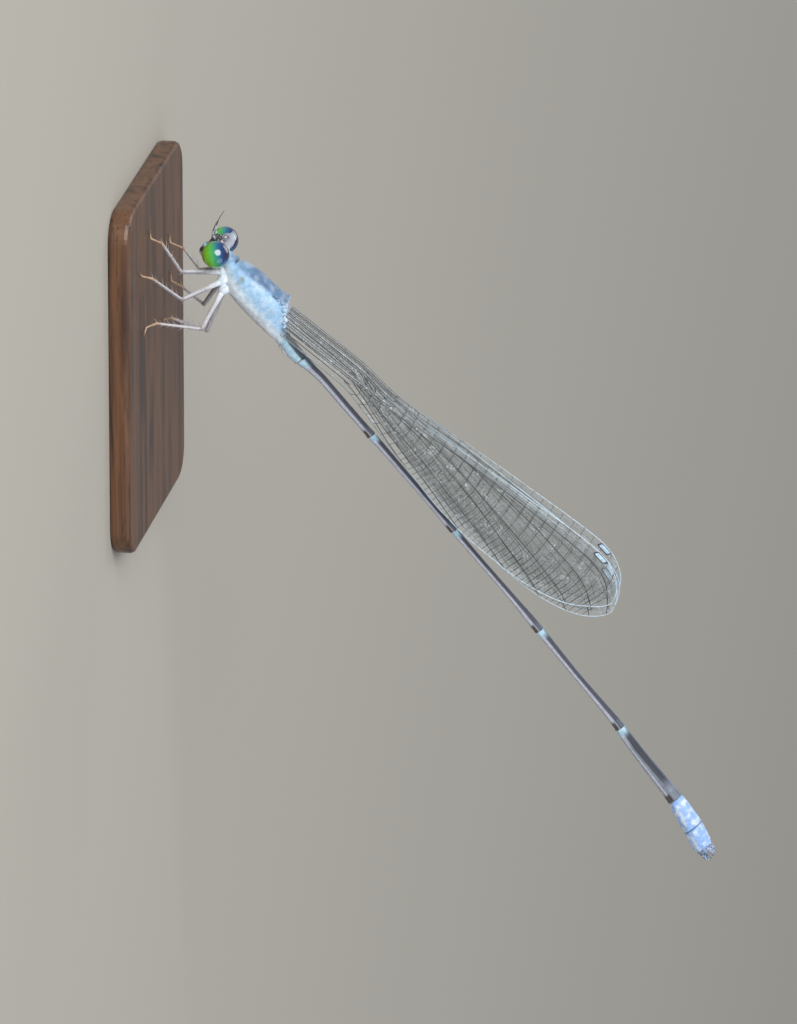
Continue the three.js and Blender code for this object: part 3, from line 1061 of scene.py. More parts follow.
    def hooks(self) -> list[Solid]:
        """The tail's two upper and two lower hooks and the spiky rim of the last ring."""
        parts = []
        for side in (-1, 1):
            for path, radius in (
                (((38.25, 0.2, 0.3), (38.55, 0.24, 0.28), (38.8, 0.16, 0.14)), 0.15),
                (((38.2, 0.16, -0.3), (38.6, 0.2, -0.28), (38.92, 0.12, -0.12)), 0.13),
            ):
                line = along_polyline(np.array(path) * (1, side, 1), 0.05)
                share = np.linspace(0, 1, len(line))
                parts.append(tube(line, radius * (1 - share**1.6) + 0.015, 12))
        draw = random.Random(7)
        for i in range(self.rim_spikes):
            angle = 2 * math.pi * i / self.rim_spikes
            y, z = 0.42 * math.cos(angle), 0.44 * math.sin(angle)
            reach = draw.uniform(0.14, 0.26)
            tip = (38.1 + reach, y * 0.95, z * 0.95 + draw.uniform(-0.04, 0.04))
            line = along_polyline(np.array([(38.02, y, z), tip]), 0.06)
            parts.append(tube(line, np.linspace(0.05, 0.008, len(line)), 8))
        return parts

    def lumps(self) -> list[Solid]:
        """Small plates at the wing roots, hips, and the lobe under the second abdomen length."""
        draw = random.Random(3)
        parts = []
        for side in (-1, 1):
            for _ in range(self.root_plates):
                share = draw.random()
                x = -1.95 + 1.45 * share - 0.34 * draw.random()
                z = 1.02 - 0.95 * share + draw.uniform(-0.14, 0.1)
                y = side * (0.66 + 0.12 * math.sin(math.pi * share) - 0.3 * share)
                half = tuple(draw.uniform(0.09, 0.17) for _ in range(3))
                parts.append(ball((x, y, z), half, 8))
            for x, z, y, half in (
                (-5.42, -0.78, 0.36, (0.3, 0.26, 0.34)),
                (-4.98, -1.02, 0.48, (0.3, 0.3, 0.42)),
                (-4.5, -1.26, 0.5, (0.32, 0.32, 0.46)),
            ):
                parts.append(ball((x, side * y, z), half, 12))
        for x, z, half in (
            (0.5, -0.98, (0.36, 0.2, 0.14)),
            (0.2, -0.97, (0.22, 0.16, 0.12)),
            (0.78, -0.94, (0.2, 0.15, 0.12)),
        ):
            parts.append(ball((x, 0.0, z), half, 10))
        return parts

    def coat_of(self, points: np.ndarray) -> np.ndarray:
        """Paints the trunk and head.

        Args:
            points: points in the model's frame, in millimetres.

        Returns:
            A linear colour for each point.
        """
        inside = self.frame.local(points)
        x, y, z = inside.T
        # where each point shows in a side view from the left, a little above: both sides alike
        seen_x = x + self.seen_forward * np.abs(y)
        seen_z = z - self.seen_down * np.abs(y)
        size = self.size_at(x)
        middle, half = (size["high"] + size["low"]) / 2, (size["high"] - size["low"]) / 2
        up = np.clip((z - middle) / half, -1.2, 1.2)
        coat = np.tile(linear(self.coat.sky), (len(x), 1))
        self._paint_thorax(coat, inside, seen_x, seen_z)
        self._paint_abdomen(coat, inside, up)
        head = self.head.local(points)
        in_head = ramp(head[:, 0], 0.66, 0.6)
        self._paint_head(coat, head, in_head)
        return coat

    def _paint_thorax(
        self, coat: np.ndarray, inside: np.ndarray, seen_x: np.ndarray, seen_z: np.ndarray
    ) -> None:
        """Lays the thorax's blue bands, white underside, spots and dashes."""
        c, x, z = self.coat, inside[:, 0], inside[:, 2]
        shoulder = np.interp(seen_x, [-5.4, -4.2, -3.2, -2.2, -1.6], [-0.1, 0.1, 0.36, 0.62, 0.75])
        lay(coat, c.steel, 0.85 * ramp(seen_z, shoulder - 0.12, shoulder + 0.16))
        lay(coat, c.sky, 0.5 * ramp(x, -4.2, -5.2))
        white_edge = np.interp(seen_x, [-5.4, -4.6, -3.2, -1.8, -0.8], [-0.45, -0.62, -0.72, -0.66, -0.5])
        lay(coat, c.pale, 0.9 * ramp(seen_z, white_edge + 0.25, white_edge - 0.1))
        lay(coat, c.white, 0.85 * ramp(seen_z, white_edge - 0.05, white_edge - 0.3))
        spot = np.hypot((seen_x + 4.26) / 0.2, (seen_z + 0.26) / 0.15)
        lay(coat, c.olive, 0.8 * ramp(spot, 1.15, 0.6))
        smear = np.hypot((seen_x + 4.22) / 0.12, (seen_z + 0.6) / 0.26)
        lay(coat, c.olive, 0.3 * ramp(smear, 1.2, 0.5))
        for sx, sz, long, tall, tilt in (
            (-2.33, 0.58, 0.2, 0.05, 0.3),
            (-1.8, 0.57, 0.065, 0.055, 0.0),
            (-1.29, -0.33, 0.06, 0.055, 0.0),
            (-1.75, -0.42, 0.2, 0.035, 0.25),
            (-1.75, 1.05, 0.07, 0.08, 0.0),
        ):
            dx, dz = seen_x - sx, seen_z - sz
            mark = np.hypot((dx + dz * tilt) / long, (dz - dx * tilt) / tall)
            lay(coat, c.ink, 0.9 * ramp(mark, 1.2, 0.7))
        roots = ramp(seen_x, -1.95, -1.6) * ramp(x, -0.2, -0.5) * ramp(seen_z, -0.3, 0.1)
        roots *= ramp(seen_x + 0.75 * seen_z, -1.15, -0.85)
        lay(coat, c.pale, 0.75 * roots)
        lay(coat, c.plum, 0.85 * roots * ramp(cloudy(inside, 0.13), 0.08, 0.3))
        bloom = ramp(cloudy(inside, 0.4), 0.0, 0.5) * ramp(x, -0.9, -1.1)
        lay(coat, c.white, 0.25 * bloom)
        collar = np.hypot((x + 5.42) / 0.2, (z - 0.36) / 0.16)
        lay(coat, c.grey, 0.7 * ramp(collar, 1.2, 0.4))
        lay(coat, c.ink, 0.6 * ramp(np.hypot((x + 5.36) / 0.1, (z - 0.3) / 0.12), 1.1, 0.5))

    def _paint_abdomen(self, coat: np.ndarray, inside: np.ndarray, up: np.ndarray) -> None:
        """Lays the stripe, joint marks and tail colours."""
        c, x = self.coat, inside[:, 0]
        second = ramp(x, -0.3, 0.0)
        lay(coat, c.frost_and_glint, second)
        lay(coat, c.white, 0.5 * second * ramp(up, -0.3, -0.8))
        long_part = ramp(x, 1.5, 2.3)
        lay(coat, c.lavender, long_part)
        lay(coat, c.white, 0.55 * long_part * bell(up, -0.32, 0.14))
        lay(coat, c.plum, 0.35 * long_part * bell(up, -0.6, 0.1))
        last = ramp(x, 29.5, 31.0)
        lay(coat, c.grey, 0.75 * last * ramp(up, -0.55, -0.1))
        lay(coat, c.white, 0.5 * last * bell(up - 0.06 * np.sin(x), -0.3, 0.09))
        edge = np.interp(x, [-0.2, 2, 6, 29, 31, 34.8], [0.45, 0.34, 0.26, 0.24, 0.16, 0.4])
        stripe = ramp(up, edge - 0.12, edge + 0.12) * ramp(x, -0.5, -0.25)
        lay(coat, c.ink, 0.93 * stripe * ramp(x, 34.2, 33.2))
        lay(coat, c.steel, 0.25 * long_part * stripe * ramp(up, 0.75, 0.98))
        for joint in self.joints[2:7]:
            before = ramp(x, joint - 0.62, joint - 0.42) * (x < joint + 0.01)
            lay(coat, c.brown, 0.92 * before * ramp(up, 0.16, -0.05))
            lay(coat, c.grey, 0.5 * before * ramp(up, 0.3, 0.6))
            after = ramp(x, joint + 0.02, joint + 0.05) * ramp(x, joint + 0.75, joint + 0.1)
            wedge = ramp(up, 1.15, 0.75) * ramp(x, joint + 0.9, joint + 0.2)
            lay(coat, c.frost_and_glint, 0.9 * after * wedge)
        hinge = bell(x, self.joints[1], 0.07)
        lay(coat, c.orange, 0.85 * hinge * ramp(up, -0.05, -0.45))
        lay(coat, c.ink, 0.9 * bell(x, self.joints[1] - 0.02, 0.035) * ramp(up, -0.4, 0.1))
        lay(coat, c.frost_and_glint, 0.9 * ramp(x, 1.45, 1.5) * ramp(x, 2.2, 1.6) * ramp(up, 0.8, 0.4))
        lobe = ramp(x, -0.05, 0.1) * ramp(x, 1.1, 0.9) * ramp(up, -0.93, -1.05)
        lay(coat, c.blush, 0.9 * lobe)
        tail = ramp(x, 34.72, 34.86)
        lay(coat, c.powder, tail)
        lay(coat, c.white, 0.7 * tail * ramp(cloudy(inside, 0.3), -0.1, 0.4))
        for colour, joint, width, cover in (
            (c.teal, 36.74, 0.055, 0.85),
            (c.grey, 34.78, 0.05, 0.8),
            (c.sky, 37.9, 0.06, 0.5),
        ):
            lay(coat, colour, cover * bell(x, joint, width))
        end = ramp(x, 37.95, 38.15)
        lay(coat, c.grey, 0.6 * end)
        flecks = cloudy(inside, 0.08)
        lay(coat, c.ink, 0.85 * end * ramp(flecks, 0.1, 0.35))
        lay(coat, c.white, 0.6 * end * ramp(flecks, -0.1, -0.4))

    def _paint_head(self, coat: np.ndarray, head: np.ndarray, cover: np.ndarray) -> None:
        """Lays the head's grey back, black face, pale spots and mouth."""
        c = HeadCoat()
        back, y, up = head.T
        side = np.abs(y)
        lay(coat, c.back, cover)
        lay(coat, c.nape, cover * 0.6 * ramp(back, 0.15, 0.5))
        lay(coat, c.rim, cover * 0.8 * ramp(side, 0.98, 1.06))
        face = ramp(-back + 0.25 * ramp(up, 0.3, 0.7), 0.28, 0.42) * ramp(side, 0.92, 0.8)
        lay(coat, c.face, cover * 0.96 * face)
        crown = ramp(up, 0.42, 0.56) * ramp(side, 0.75, 0.55) * ramp(back, 0.3, 0.1)
        lay(coat, c.crown, cover * 0.85 * crown)
        spot = np.sqrt((back + 0.05) ** 2 + (side - 0.46) ** 2 + (up - 0.62) ** 2)
        lay(coat, c.spot, cover * ramp(spot, 0.1495, 0.091))
        dots = np.sin(back * 29 + 1) * np.sin(y * 23 + 2) * np.sin(up * 17)
        dotted = np.maximum(face, crown) * ramp(up, 0.1, 0.3) * ramp(dots, 0.3, 0.6)
        lay(coat, c.dots, cover * 0.7 * dotted)
        bar = ramp(-back, 0.62, 0.7) * bell(up, -0.22, 0.09) * ramp(side, 0.5, 0.36)
        lay(coat, c.bar, cover * bar)
        lip = ramp(-back, 0.52, 0.62) * ramp(up, -0.66, -0.74) * ramp(side, 0.42, 0.34)
        lay(coat, c.lip, cover * lip)
        lay(coat, c.mouth, cover * 0.8 * ramp(up, -0.88, -0.95) * ramp(-back, 0.0, 0.2))

    def build(self, others: list[Piece]) -> Piece:
        """Makes the skin, joins the head and lumps to it, and paints it.

        Args:
            others: closed pieces that are fused to the trunk, such as the head.

        Returns:
            The skin.
        """
        rings = self.rings()
        count, sides, _ = rings.shape
        points = self.frame.out(rings.reshape(-1, 3))
        skin = mesh_piece("body_skin", points, loft_faces(count, sides), unit=1.0)
        bits = []
        for i, (points, faces) in enumerate(self.lumps() + self.hooks()):
            bits.append(mesh_piece(f"lump_{i}", self.frame.out(points), faces, unit=1.0))
        fuse(skin, bits + others)
        skin.data.transform(Matrix.Scale(MM, 4))
        paint(skin, "coat", self.coat_of(points_of(skin)))
        skin.data.materials.clear()
        skin.data.materials.append(Cuticle("waxy_bloom_cuticle").build())
        return skin


# Head


@dataclass
class Head:
    """Head capsule, eyes and feelers in the head's frame: x to the neck, z to the crown."""

    frame: Frame
    eye_centre: float = 1.35
    eye_radius: float = 0.785
    eye_depth: float = 0.8
    disc_at: float = 1.1
    disc_radius: float = 0.56
    disc_back: float = 0.1
    disc_up: float = 0.16
    waist: float = 0.42
    voxel: float = 0.024
    feeler_path: tuple[Triple, ...] = (
        (-0.58, 0.36, 0.46),
        (-0.74, 0.42, 0.62),
        (-0.82, 0.46, 0.8),
        (-0.9, 0.6, 1.3),
        (-0.86, 0.78, 1.75),
    )
    feeler_radii: tuple[Pair, ...] = (
        # share along the feeler, radius
        (0, 0.075), (0.1, 0.07), (0.14, 0.05), (0.18, 0.065), (0.3, 0.05), (0.34, 0.03), (1, 0.012),
    )

    def _dumb_bell(self) -> Solid:
        """The capsule's waisted core, flared to a disc inside each eye."""
        sides, steps = 40, 36
        rings = []
        for i in range(steps + 1):
            y = -self.disc_at + 2 * self.disc_at * i / steps
            share = abs(y) / self.disc_at
            radius = self.waist + (self.disc_radius - self.waist) * share**2.2
            back, up = self.disc_back * share, 0.02 + self.disc_up * share
            angle = np.arange(sides) * 2 * math.pi / sides
            rings.append(
                np.stack([back + radius * np.sin(angle), np.full(sides, y), up + radius * np.cos(angle)], 1)
            )
        return np.concatenate(rings), loft_faces(steps + 1, sides)

    def capsule(self) -> Piece:
        """The capsule with its face, jaws and neck, melted into one skin."""
        parts = [self._dumb_bell()]
        for centre, half in (
            ((-0.2, 0, 0.26), (0.42, 0.6, 0.4)),
            ((-0.44, 0, -0.02), (0.3, 0.64, 0.46)),
            ((-0.68, 0, -0.36), (0.26, 0.46, 0.26)),
            ((-0.78, 0, -0.66), (0.2, 0.34, 0.24)),
            ((-0.5, 0, -0.86), (0.34, 0.32, 0.16)),
            ((-0.2, 0, -0.5), (0.4, 0.5, 0.42)),
            ((-0.45, 0.4, -0.55), (0.3, 0.22, 0.3)),
            ((-0.45, -0.4, -0.55), (0.3, 0.22, 0.3)),
            ((0.2, 0, 0.06), (0.34, 0.5, 0.36)),
            ((-0.38, 0, 0.6), (0.08, 0.08, 0.08)),
            ((-0.22, 0.15, 0.64), (0.07, 0.07, 0.07)),
            ((-0.22, -0.15, 0.64), (0.07, 0.07, 0.07)),
            ((-0.56, 0.36, 0.4), (0.12, 0.13, 0.13)),
            ((-0.56, -0.36, 0.4), (0.12, 0.13, 0.13)),
        ):
            parts.append(ball(centre, half, 14))
        neck = along_polyline(np.array([(0.0, 0, -0.1), (0.45, 0, -0.15), (0.8, 0, -0.1)]), 0.1)
        parts.append(tube(neck, np.full(len(neck), 0.24), 20))
        points, faces = gather(parts)
        head = mesh_piece("head_capsule", self.frame.out(points), faces, unit=1.0)
        return remesh(head, self.voxel, 3)

    def eye(self, side: Side) -> Piece:
        """One compound eye with its banded finish."""
        middle = side.value * self.eye_centre
        half = (self.eye_radius, self.eye_depth, self.eye_radius)
        points, faces = ball((0.0, middle, 0.0), half, 44)
        finish = CompoundEye(f"compound_eye_{side.word}", self.frame, middle, self.eye_radius)
        return mesh_piece(f"eye_{side.word}_dome", self.frame.out(points), faces, finish.build())

    def feeler(self, side: Side) -> Piece:
        """One feeler: two stout pale segments and a thin dark lash."""
        line = along_polyline(np.array(self.feeler_path) * (1, side.value, 1), 0.03)
        share = np.linspace(0, 1, len(line))
        points, faces = tube(line, through(self.feeler_radii, share), 12)
        finish = Cuticle(f"feeler_cuticle_{side.word}", sheen=0.0).build()
        feeler = mesh_piece(f"feeler_{side.word}", self.frame.out(points), faces, finish)
        c, along = HeadCoat(), np.repeat(share, 12)
        coat = np.tile(linear(c.lash), (len(points), 1))
        lay(coat, c.feeler, ramp(along, 0.36, 0.28))
        lay(coat, c.lash, bell(along, 0.14, 0.02))
        paint(feeler, "coat", coat)
        return feeler


# Wings


@dataclass(frozen=True)
class WingShape:
    """One wing's outline in the wings' frame, in millimetres, and where it lies."""

    word: str
    aside: float
    lead: tuple[Pair, ...]
    trail: tuple[Pair, ...]
    stigma: Pair
    seed: int
    nodus: float = 8.2
    fork: float = 5.5


FORE_WING = WingShape(
    word="fore",
    aside=0.4,
    lead=(
        (0.2, 0.34), (5.0, 0.43), (8.2, 0.17), (11.5, 0.31), (17.2, 0.47), (22.1, 0.52),
        (23.4, 0.4), (24.3, 0.06), (24.95, -0.5), (25.25, -1.1), (25.34, -1.5),
    ),
    trail=(
        (0.2, -0.36), (5.0, -0.44), (6.9, -0.85), (9.2, -1.68), (11.5, -2.36), (14.3, -2.98),
        (17.2, -3.42), (19.5, -3.66), (21.2, -3.6), (22.9, -3.32), (24.1, -2.87), (24.9, -2.27),
        (25.25, -1.8), (25.34, -1.5),
    ),
    stigma=(23.3, 24.05),
    seed=11,
)
HIND_WING = WingShape(
    word="hind",
    aside=0.72,
    lead=(
        (0.62, -0.31), (5.0, -0.19), (8.2, -0.06), (11.5, 0.31), (17.2, 0.75), (22.1, 0.99),
        (23.2, 0.84), (24.1, 0.42), (24.7, -0.15), (24.95, -0.7), (25.0, -1.0),
    ),
    trail=(
        (0.62, -1.0), (5.0, -1.02), (6.9, -1.38), (9.2, -2.02), (11.5, -2.57), (14.3, -3.2),
        (17.2, -3.46), (19.5, -3.46), (21.2, -3.26), (22.9, -2.78), (24.1, -2.02), (24.75, -1.45),
        (25.0, -1.0),
    ),
    stigma=(22.35, 23.1),
    seed=23,
)


@dataclass
class Wing:
    """One wing: a pleated membrane with its net of veins and its wing spot."""

    frame: Frame
    shape: WingShape
    side: Side
    columns: int = 150
    rows: int = 36
    sheet: float = 0.012
    cross_step: float = 0.72
    pleat: float = 0.035
    pleats: int = 7
    camber: float = 0.1
    radius_share: float = 1.0
    margin_radius: float = 0.027
    stem_radius: float = 0.026
    long_radius: float = 0.022
    cross_radius: float = 0.014
    spot_radius: float = 0.045

    def lead(self, x: np.ndarray) -> np.ndarray:
        """The leading edge's z at each x."""
        return through(self.shape.lead, np.asarray(x, float))

    def trail(self, x: np.ndarray) -> np.ndarray:
        """The trailing edge's z at each x."""
        return through(self.shape.trail, np.asarray(x, float))

    def stem(self, x: np.ndarray) -> np.ndarray:
        """The strong vein just behind the leading edge."""
        x = np.asarray(x, float)
        chord = self.lead(x) - self.trail(x)
        return self.lead(x) - np.minimum(0.22 + 0.004 * x, chord * 0.3)

    def long_veins(self) -> list[np.ndarray]:
        """The long veins behind the stem, each as x, z points, from the front one back."""
        root, tip = self.shape.lead[0][0], self.shape.lead[-1][0]
        fans = (
            # where it leaves the stem, where it meets the rear margin, how late it bends
            (self.shape.nodus + 0.9, tip - 0.12, 1.5),
            (self.shape.nodus + 4.0, tip - 0.8, 1.35),
            (self.shape.nodus + 0.5, tip - 2.0, 1.3),
            (self.shape.nodus - 0.1, tip - 3.7, 1.25),
            (self.shape.fork + 0.2, tip - 6.0, 1.15),
            (self.shape.fork, tip - 9.4, 1.0),
        )
        veins = []
        for start, end, late in fans:
            x = np.linspace(start, end, 60)
            share = (x - start) / (end - start)
            drop = self.trail(np.array([end]))[0] - self.stem(np.array([end]))[0]
            veins.append(np.stack([x, self.stem(x) + drop * share**late], 1))
        lower = np.linspace(root, self.shape.fork, 20)
        middle = self.trail(lower) + 0.42 * (self.lead(lower) - self.trail(lower))
        veins.append(np.stack([lower, middle], 1))
        back = np.linspace(self.shape.fork - 0.4, tip - 13.5, 30)
        lift = ramp(back, tip - 13.5, self.shape.fork - 0.4)
        veins.append(np.stack([back, self.trail(back) + 0.3 * lift], 1))
        return veins

    def net(self) -> tuple[np.ndarray, list[tuple[int, int]], np.ndarray, np.ndarray]:
        """The veins as points, edges, radii and frost with painted highlight, all for the vein tree."""
        root, tip = self.shape.lead[0][0], self.shape.lead[-1][0]
        rounding = tip - 1.2 * (1 - np.sin(np.linspace(0, math.pi / 2, 16)[1:]))
        x = np.r_[np.linspace(root, tip - 1.2, 110), rounding]
        back = x[::-1]
        margin = np.r_[np.stack([x, self.lead(x)], 1), np.stack([back, self.trail(back)], 1)[1:]]
        stem_x = np.linspace(root, tip - 0.5, 90)
        short_x = np.linspace(root, self.shape.nodus, 40)
        half_way = 0.5 * (self.lead(short_x) + self.stem(short_x))
        half_way[-1] = self.lead(short_x[-1:])[0]
        corners = self.spot_corners()
        lines = [
            # each line's last number is its share of ice-blue frost with painted highlight
            (margin, self.margin_radius, 1.0),
            (np.stack([stem_x, self.stem(stem_x)], 1), self.stem_radius, 0.45),
            (np.stack([short_x, half_way], 1), self.long_radius, 0.1),
            *((vein, self.long_radius, 0.0) for vein in self.long_veins()),
            *((vein, self.cross_radius, 0.0) for vein in self.cross_veins()),
            (np.array([*corners, corners[0]]), self.spot_radius, 0.0),
        ]
        edges, start = [], 0
        for line, _, _ in lines:
            edges += [(start + i, start + i + 1) for i in range(len(line) - 1)]
            start += len(line)
        radii = np.concatenate([np.full(len(line), radius) for line, radius, _ in lines])
        frost_and_glint = np.concatenate([pale * self._frost_and_glint(line[:, 0]) for line, _, pale in lines])
        return np.concatenate([line for line, _, _ in lines]), edges, radii, frost_and_glint

    def _frost_and_glint(self, x: np.ndarray) -> np.ndarray:
        """How pale the margin is, frost with painted highlight: dark at the root and icy towards the tip.
        """
        return np.interp(x, [0, 8, 12, 18], [0.25, 0.3, 0.6, 1.0])

    def cross_veins(self) -> list[np.ndarray]:
        """Short veins from the front edge to the rear, in rows right across the wing."""
        tip, fork = self.shape.lead[-1][0], self.shape.fork
        draw = random.Random(self.shape.seed)
        rows = []
        for near_root in (2.3, 4.1):
            x = np.array([near_root])
            rows.append(np.array([(near_root, self.lead(x)[0]), (near_root + 0.02, self.stem(x)[0])]))
        share = np.linspace(0, 1, 15)
        bow = 0.3 * np.sin(math.pi * share) - 0.22 * share + 0.12
        for i in range(int((tip - 0.7 - fork) / self.cross_step)):
            middle = fork + 0.4 + i * self.cross_step + draw.uniform(-0.04, 0.04)
            x = np.clip(middle + bow, fork, tip - 0.35)
            start = self.lead(x) if middle > self.shape.nodus else self.stem(x)
            z = start + (self.trail(x) - start) * share
            z[0], z[-1] = start[0], self.trail(x[-1:])[0]
            rows.append(np.stack([x, z], 1))
            if middle > self.shape.nodus + 2:
                x = np.clip(x[8:] + self.cross_step / 2, None, tip - 0.3)
                z = self.lead(x) + (self.trail(x) - self.lead(x)) * share[8:]
                rows.append(np.stack([x, z], 1))
        return rows

    def bend(self, x: np.ndarray, z: np.ndarray) -> np.ndarray:
        """How far the pleated membrane stands to the side at each place."""
        chord = np.maximum(self.lead(x) - self.trail(x), 0.05)
        share = (self.lead(x) - z) / chord
        pleats = np.cos(share * math.pi * self.pleats) * self.pleat * np.clip(chord / 2.5, 0.4, 1)
        along = np.sin(np.clip(x / 25, 0, 1) * math.pi)
        camber = self.camber * along * np.sin(np.clip(share, 0, 1) * math.pi)
        return self.side.value * (self.shape.aside + camber) + pleats

    def _plate(
        self, what: str, flat: np.ndarray, half: np.ndarray, cells: tuple[int, int], finish: Material
    ) -> Piece:
        """Makes a closed plate over a grid of places on the wing.

        Args:
            what: the last word of its name.
            flat: the grid's x, z places, column after column.
            half: half the plate's thickness at each place.
            cells: how many columns and rows of cells the grid has.
            finish: its material.

        Returns:
            The plate.
        """
        x, z = flat.T
        middle = np.stack([x, self.bend(x, z), z], 1)
        aside = np.stack([half * 0, half, half * 0], 1)
        points = np.concatenate([self.frame.out(middle - aside), self.frame.out(middle + aside)])
        return mesh_piece(f"{self.node_name}_{what}", points, plate_faces(*cells), finish)

    def membrane(self, finish: Material) -> Piece:
        """The thin closed sheet between the veins."""
        root, tip = self.shape.lead[0][0], self.shape.lead[-1][0]
        share = np.linspace(0, 1, self.columns + 1)
        x = root + (tip - root - 0.004) * (0.6 * share + 0.4 * np.sin(share * math.pi / 2))
        low, high = self.trail(x)[:, None], self.lead(x)[:, None]
        z = low + (high - low) * np.linspace(0, 1, self.rows + 1)
        flat = np.stack([np.repeat(x, self.rows + 1), z.ravel()], 1)
        half = np.full(len(flat), self.sheet / 2)
        sheet = self._plate("membrane", flat, half, (self.columns, self.rows), finish)
        # the share of painted highlight flecks on the membrane, highest at the root
        near_root = np.interp(flat[:, 0], [0, 6, 12, 25], [1.0, 0.9, 0.75, 0.6])
        store(sheet, "painted_glint_share", np.tile(near_root, 2))
        return sheet

    def veins(self, tree: Tree) -> Piece:
        """The net of veins, made round by the vein tree."""
        flat, edges, radii, frost_and_glint = self.net()
        x, z = flat.T
        points = self.frame.out(np.stack([x, self.bend(x, z), z], 1))
        piece = mesh_piece(f"{self.node_name}_veins", points, [], edges=edges)
        store(piece, "radius", radii * MM)
        store(piece, "frost_and_glint", frost_and_glint)
        return grow(piece, tree, {"Radius Share": self.radius_share})

    def spot_corners(self) -> list[np.ndarray]:
        """The wing spot's four slanting corners, as x, z points."""
        start, end = self.shape.stigma
        slant, inset = 0.16, 0.03
        lower = [np.array([x, self.stem(x) + inset]) for x in (start, end)]
        upper = [np.array([x, self.lead(x) - inset]) for x in (end + slant, start + slant)]
        return lower + upper

    def stigma(self, finish: Material) -> Piece:
        """The wing spot: a small lens-like cell near the tip, behind the leading edge."""
        a, b, c, d = self.spot_corners()
        steps = 8
        even = np.linspace(0, 1, steps + 1)
        s, t = (grid.reshape(-1, 1) for grid in np.meshgrid(even, even, indexing="ij"))
        flat = (a * (1 - s) + b * s) * (1 - t) + (d * (1 - s) + c * s) * t
        swell = 0.02 + 0.03 * np.sqrt(np.clip(16 * s * (1 - s) * t * (1 - t), 0, 1))
        return self._plate("spot", flat, swell.ravel(), (steps, steps), finish)

    @property
    def node_name(self) -> str:
        """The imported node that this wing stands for, such as wing_fore_left."""
        return f"wing_{self.shape.word}_{self.side.word}"


def plate_faces(columns: int, rows: int) -> list[tuple[int, ...]]:
    """Faces of a closed plate made of two like grids, the first at lower y.

    Args:
        columns: cells along x.
        rows: cells along z.

    Returns:
        The faces as point numbers.
    """
    stride = rows + 1
    other = (columns + 1) * stride
    faces = []
    for column in range(columns):
        for row in range(rows):
            a = column * stride + row
            b = a + stride
            faces.append((a, b, b + 1, a + 1))
            faces.append((a + other, a + 1 + other, b + 1 + other, b + other))
    rim = [c * stride for c in range(columns)]
    rim += [columns * stride + r for r in range(rows)]
    rim += [c * stride + rows for c in range(columns, 0, -1)]
    rim += list(range(rows, 0, -1))
    for a, b in zip(rim, rim[1:] + rim[:1]):
        faces.append((a, a + other, b + other, b))
    return faces


def vein_tree(finish: Material, sides: int = 6) -> Tree:
    """A Geometry Nodes tree that makes every edge of a net a round vein.

    Args:
        finish: the veins' material.
        sides: points round each vein.

    Returns:
        The tree, whose Radius Share input scales all the veins.
    """
    tree, entry = new_growth("wing_veins", ("Radius Share",))
    curves = node(tree, "GeometryNodeMeshToCurve", {"Mesh": entry.outputs["Geometry"]})
    stored = node(tree, "GeometryNodeInputNamedAttribute", {"Name": "radius"}, data_type="FLOAT")
    radius = reckon(tree, "MULTIPLY", stored.outputs["Attribute"], entry.outputs["Radius Share"])
    profile = node(tree, "GeometryNodeCurvePrimitiveCircle", {"Resolution": sides, "Radius": 1.0})
    inputs = {
        "Curve": curves.outputs["Curve"],
        "Profile Curve": profile.outputs["Curve"],
        "Scale": radius,
        "Fill Caps": True,
    }
    skin = node(tree, "GeometryNodeCurveToMesh", inputs)
    return end_growth(tree, skin.outputs["Mesh"], finish)


# Legs


@dataclass(frozen=True)
class LegPose:
    """One leg's joints: the hip in the body's frame, the others above the base top."""

    word: str
    hip: Triple
    knee: Triple
    ankle: Triple
    toe: Pair

    @property
    def side(self) -> Side:
        """The side that the leg is on."""
        return Side.LEFT if self.hip[1] < 0 else Side.RIGHT


LEGS = (
    LegPose("fore_left", (-5.42, -0.36, -0.85), (-1.49, -2.0, 1.84), (-3.15, -2.0, 0.72), (-3.75, -2.05)),
    LegPose("fore_right", (-5.42, 0.36, -0.85), (0.09, 3.2, 1.92), (-1.05, 3.5, 0.9), (-1.8, 3.5)),
    LegPose("mid_left", (-4.98, -0.5, -1.2), (-0.32, -3.4, 2.14), (-1.8, -4.3, 0.6), (-2.3, -5.1)),
    LegPose("mid_right", (-4.98, 0.5, -1.2), (2.1, 3.1, 2.13), (1.32, 3.7, 0.72), (0.62, 3.85)),
    LegPose("hind_left", (-4.48, -0.52, -1.45), (1.71, -2.4, 3.07), (1.25, -3.2, 0.6), (1.7, -3.95)),
    LegPose("hind_right", (-4.48, 0.52, -1.45), (3.19, 1.6, 2.59), (2.45, 1.35, 0.6), (2.9, 1.75)),
)

@dataclass(frozen=True)
class LegCoat:
    """A leg's colours, from the pale hip to the brown claws."""

    shaft: str = "#bdbec8"
    hip: str = "#d3dbe6"
    line: str = "#4d4b55"
    under: str = "#8f8890"
    joint: str = "#6f5a58"
    foot: str = "#b3926f"
    claw: str = "#5b4636"


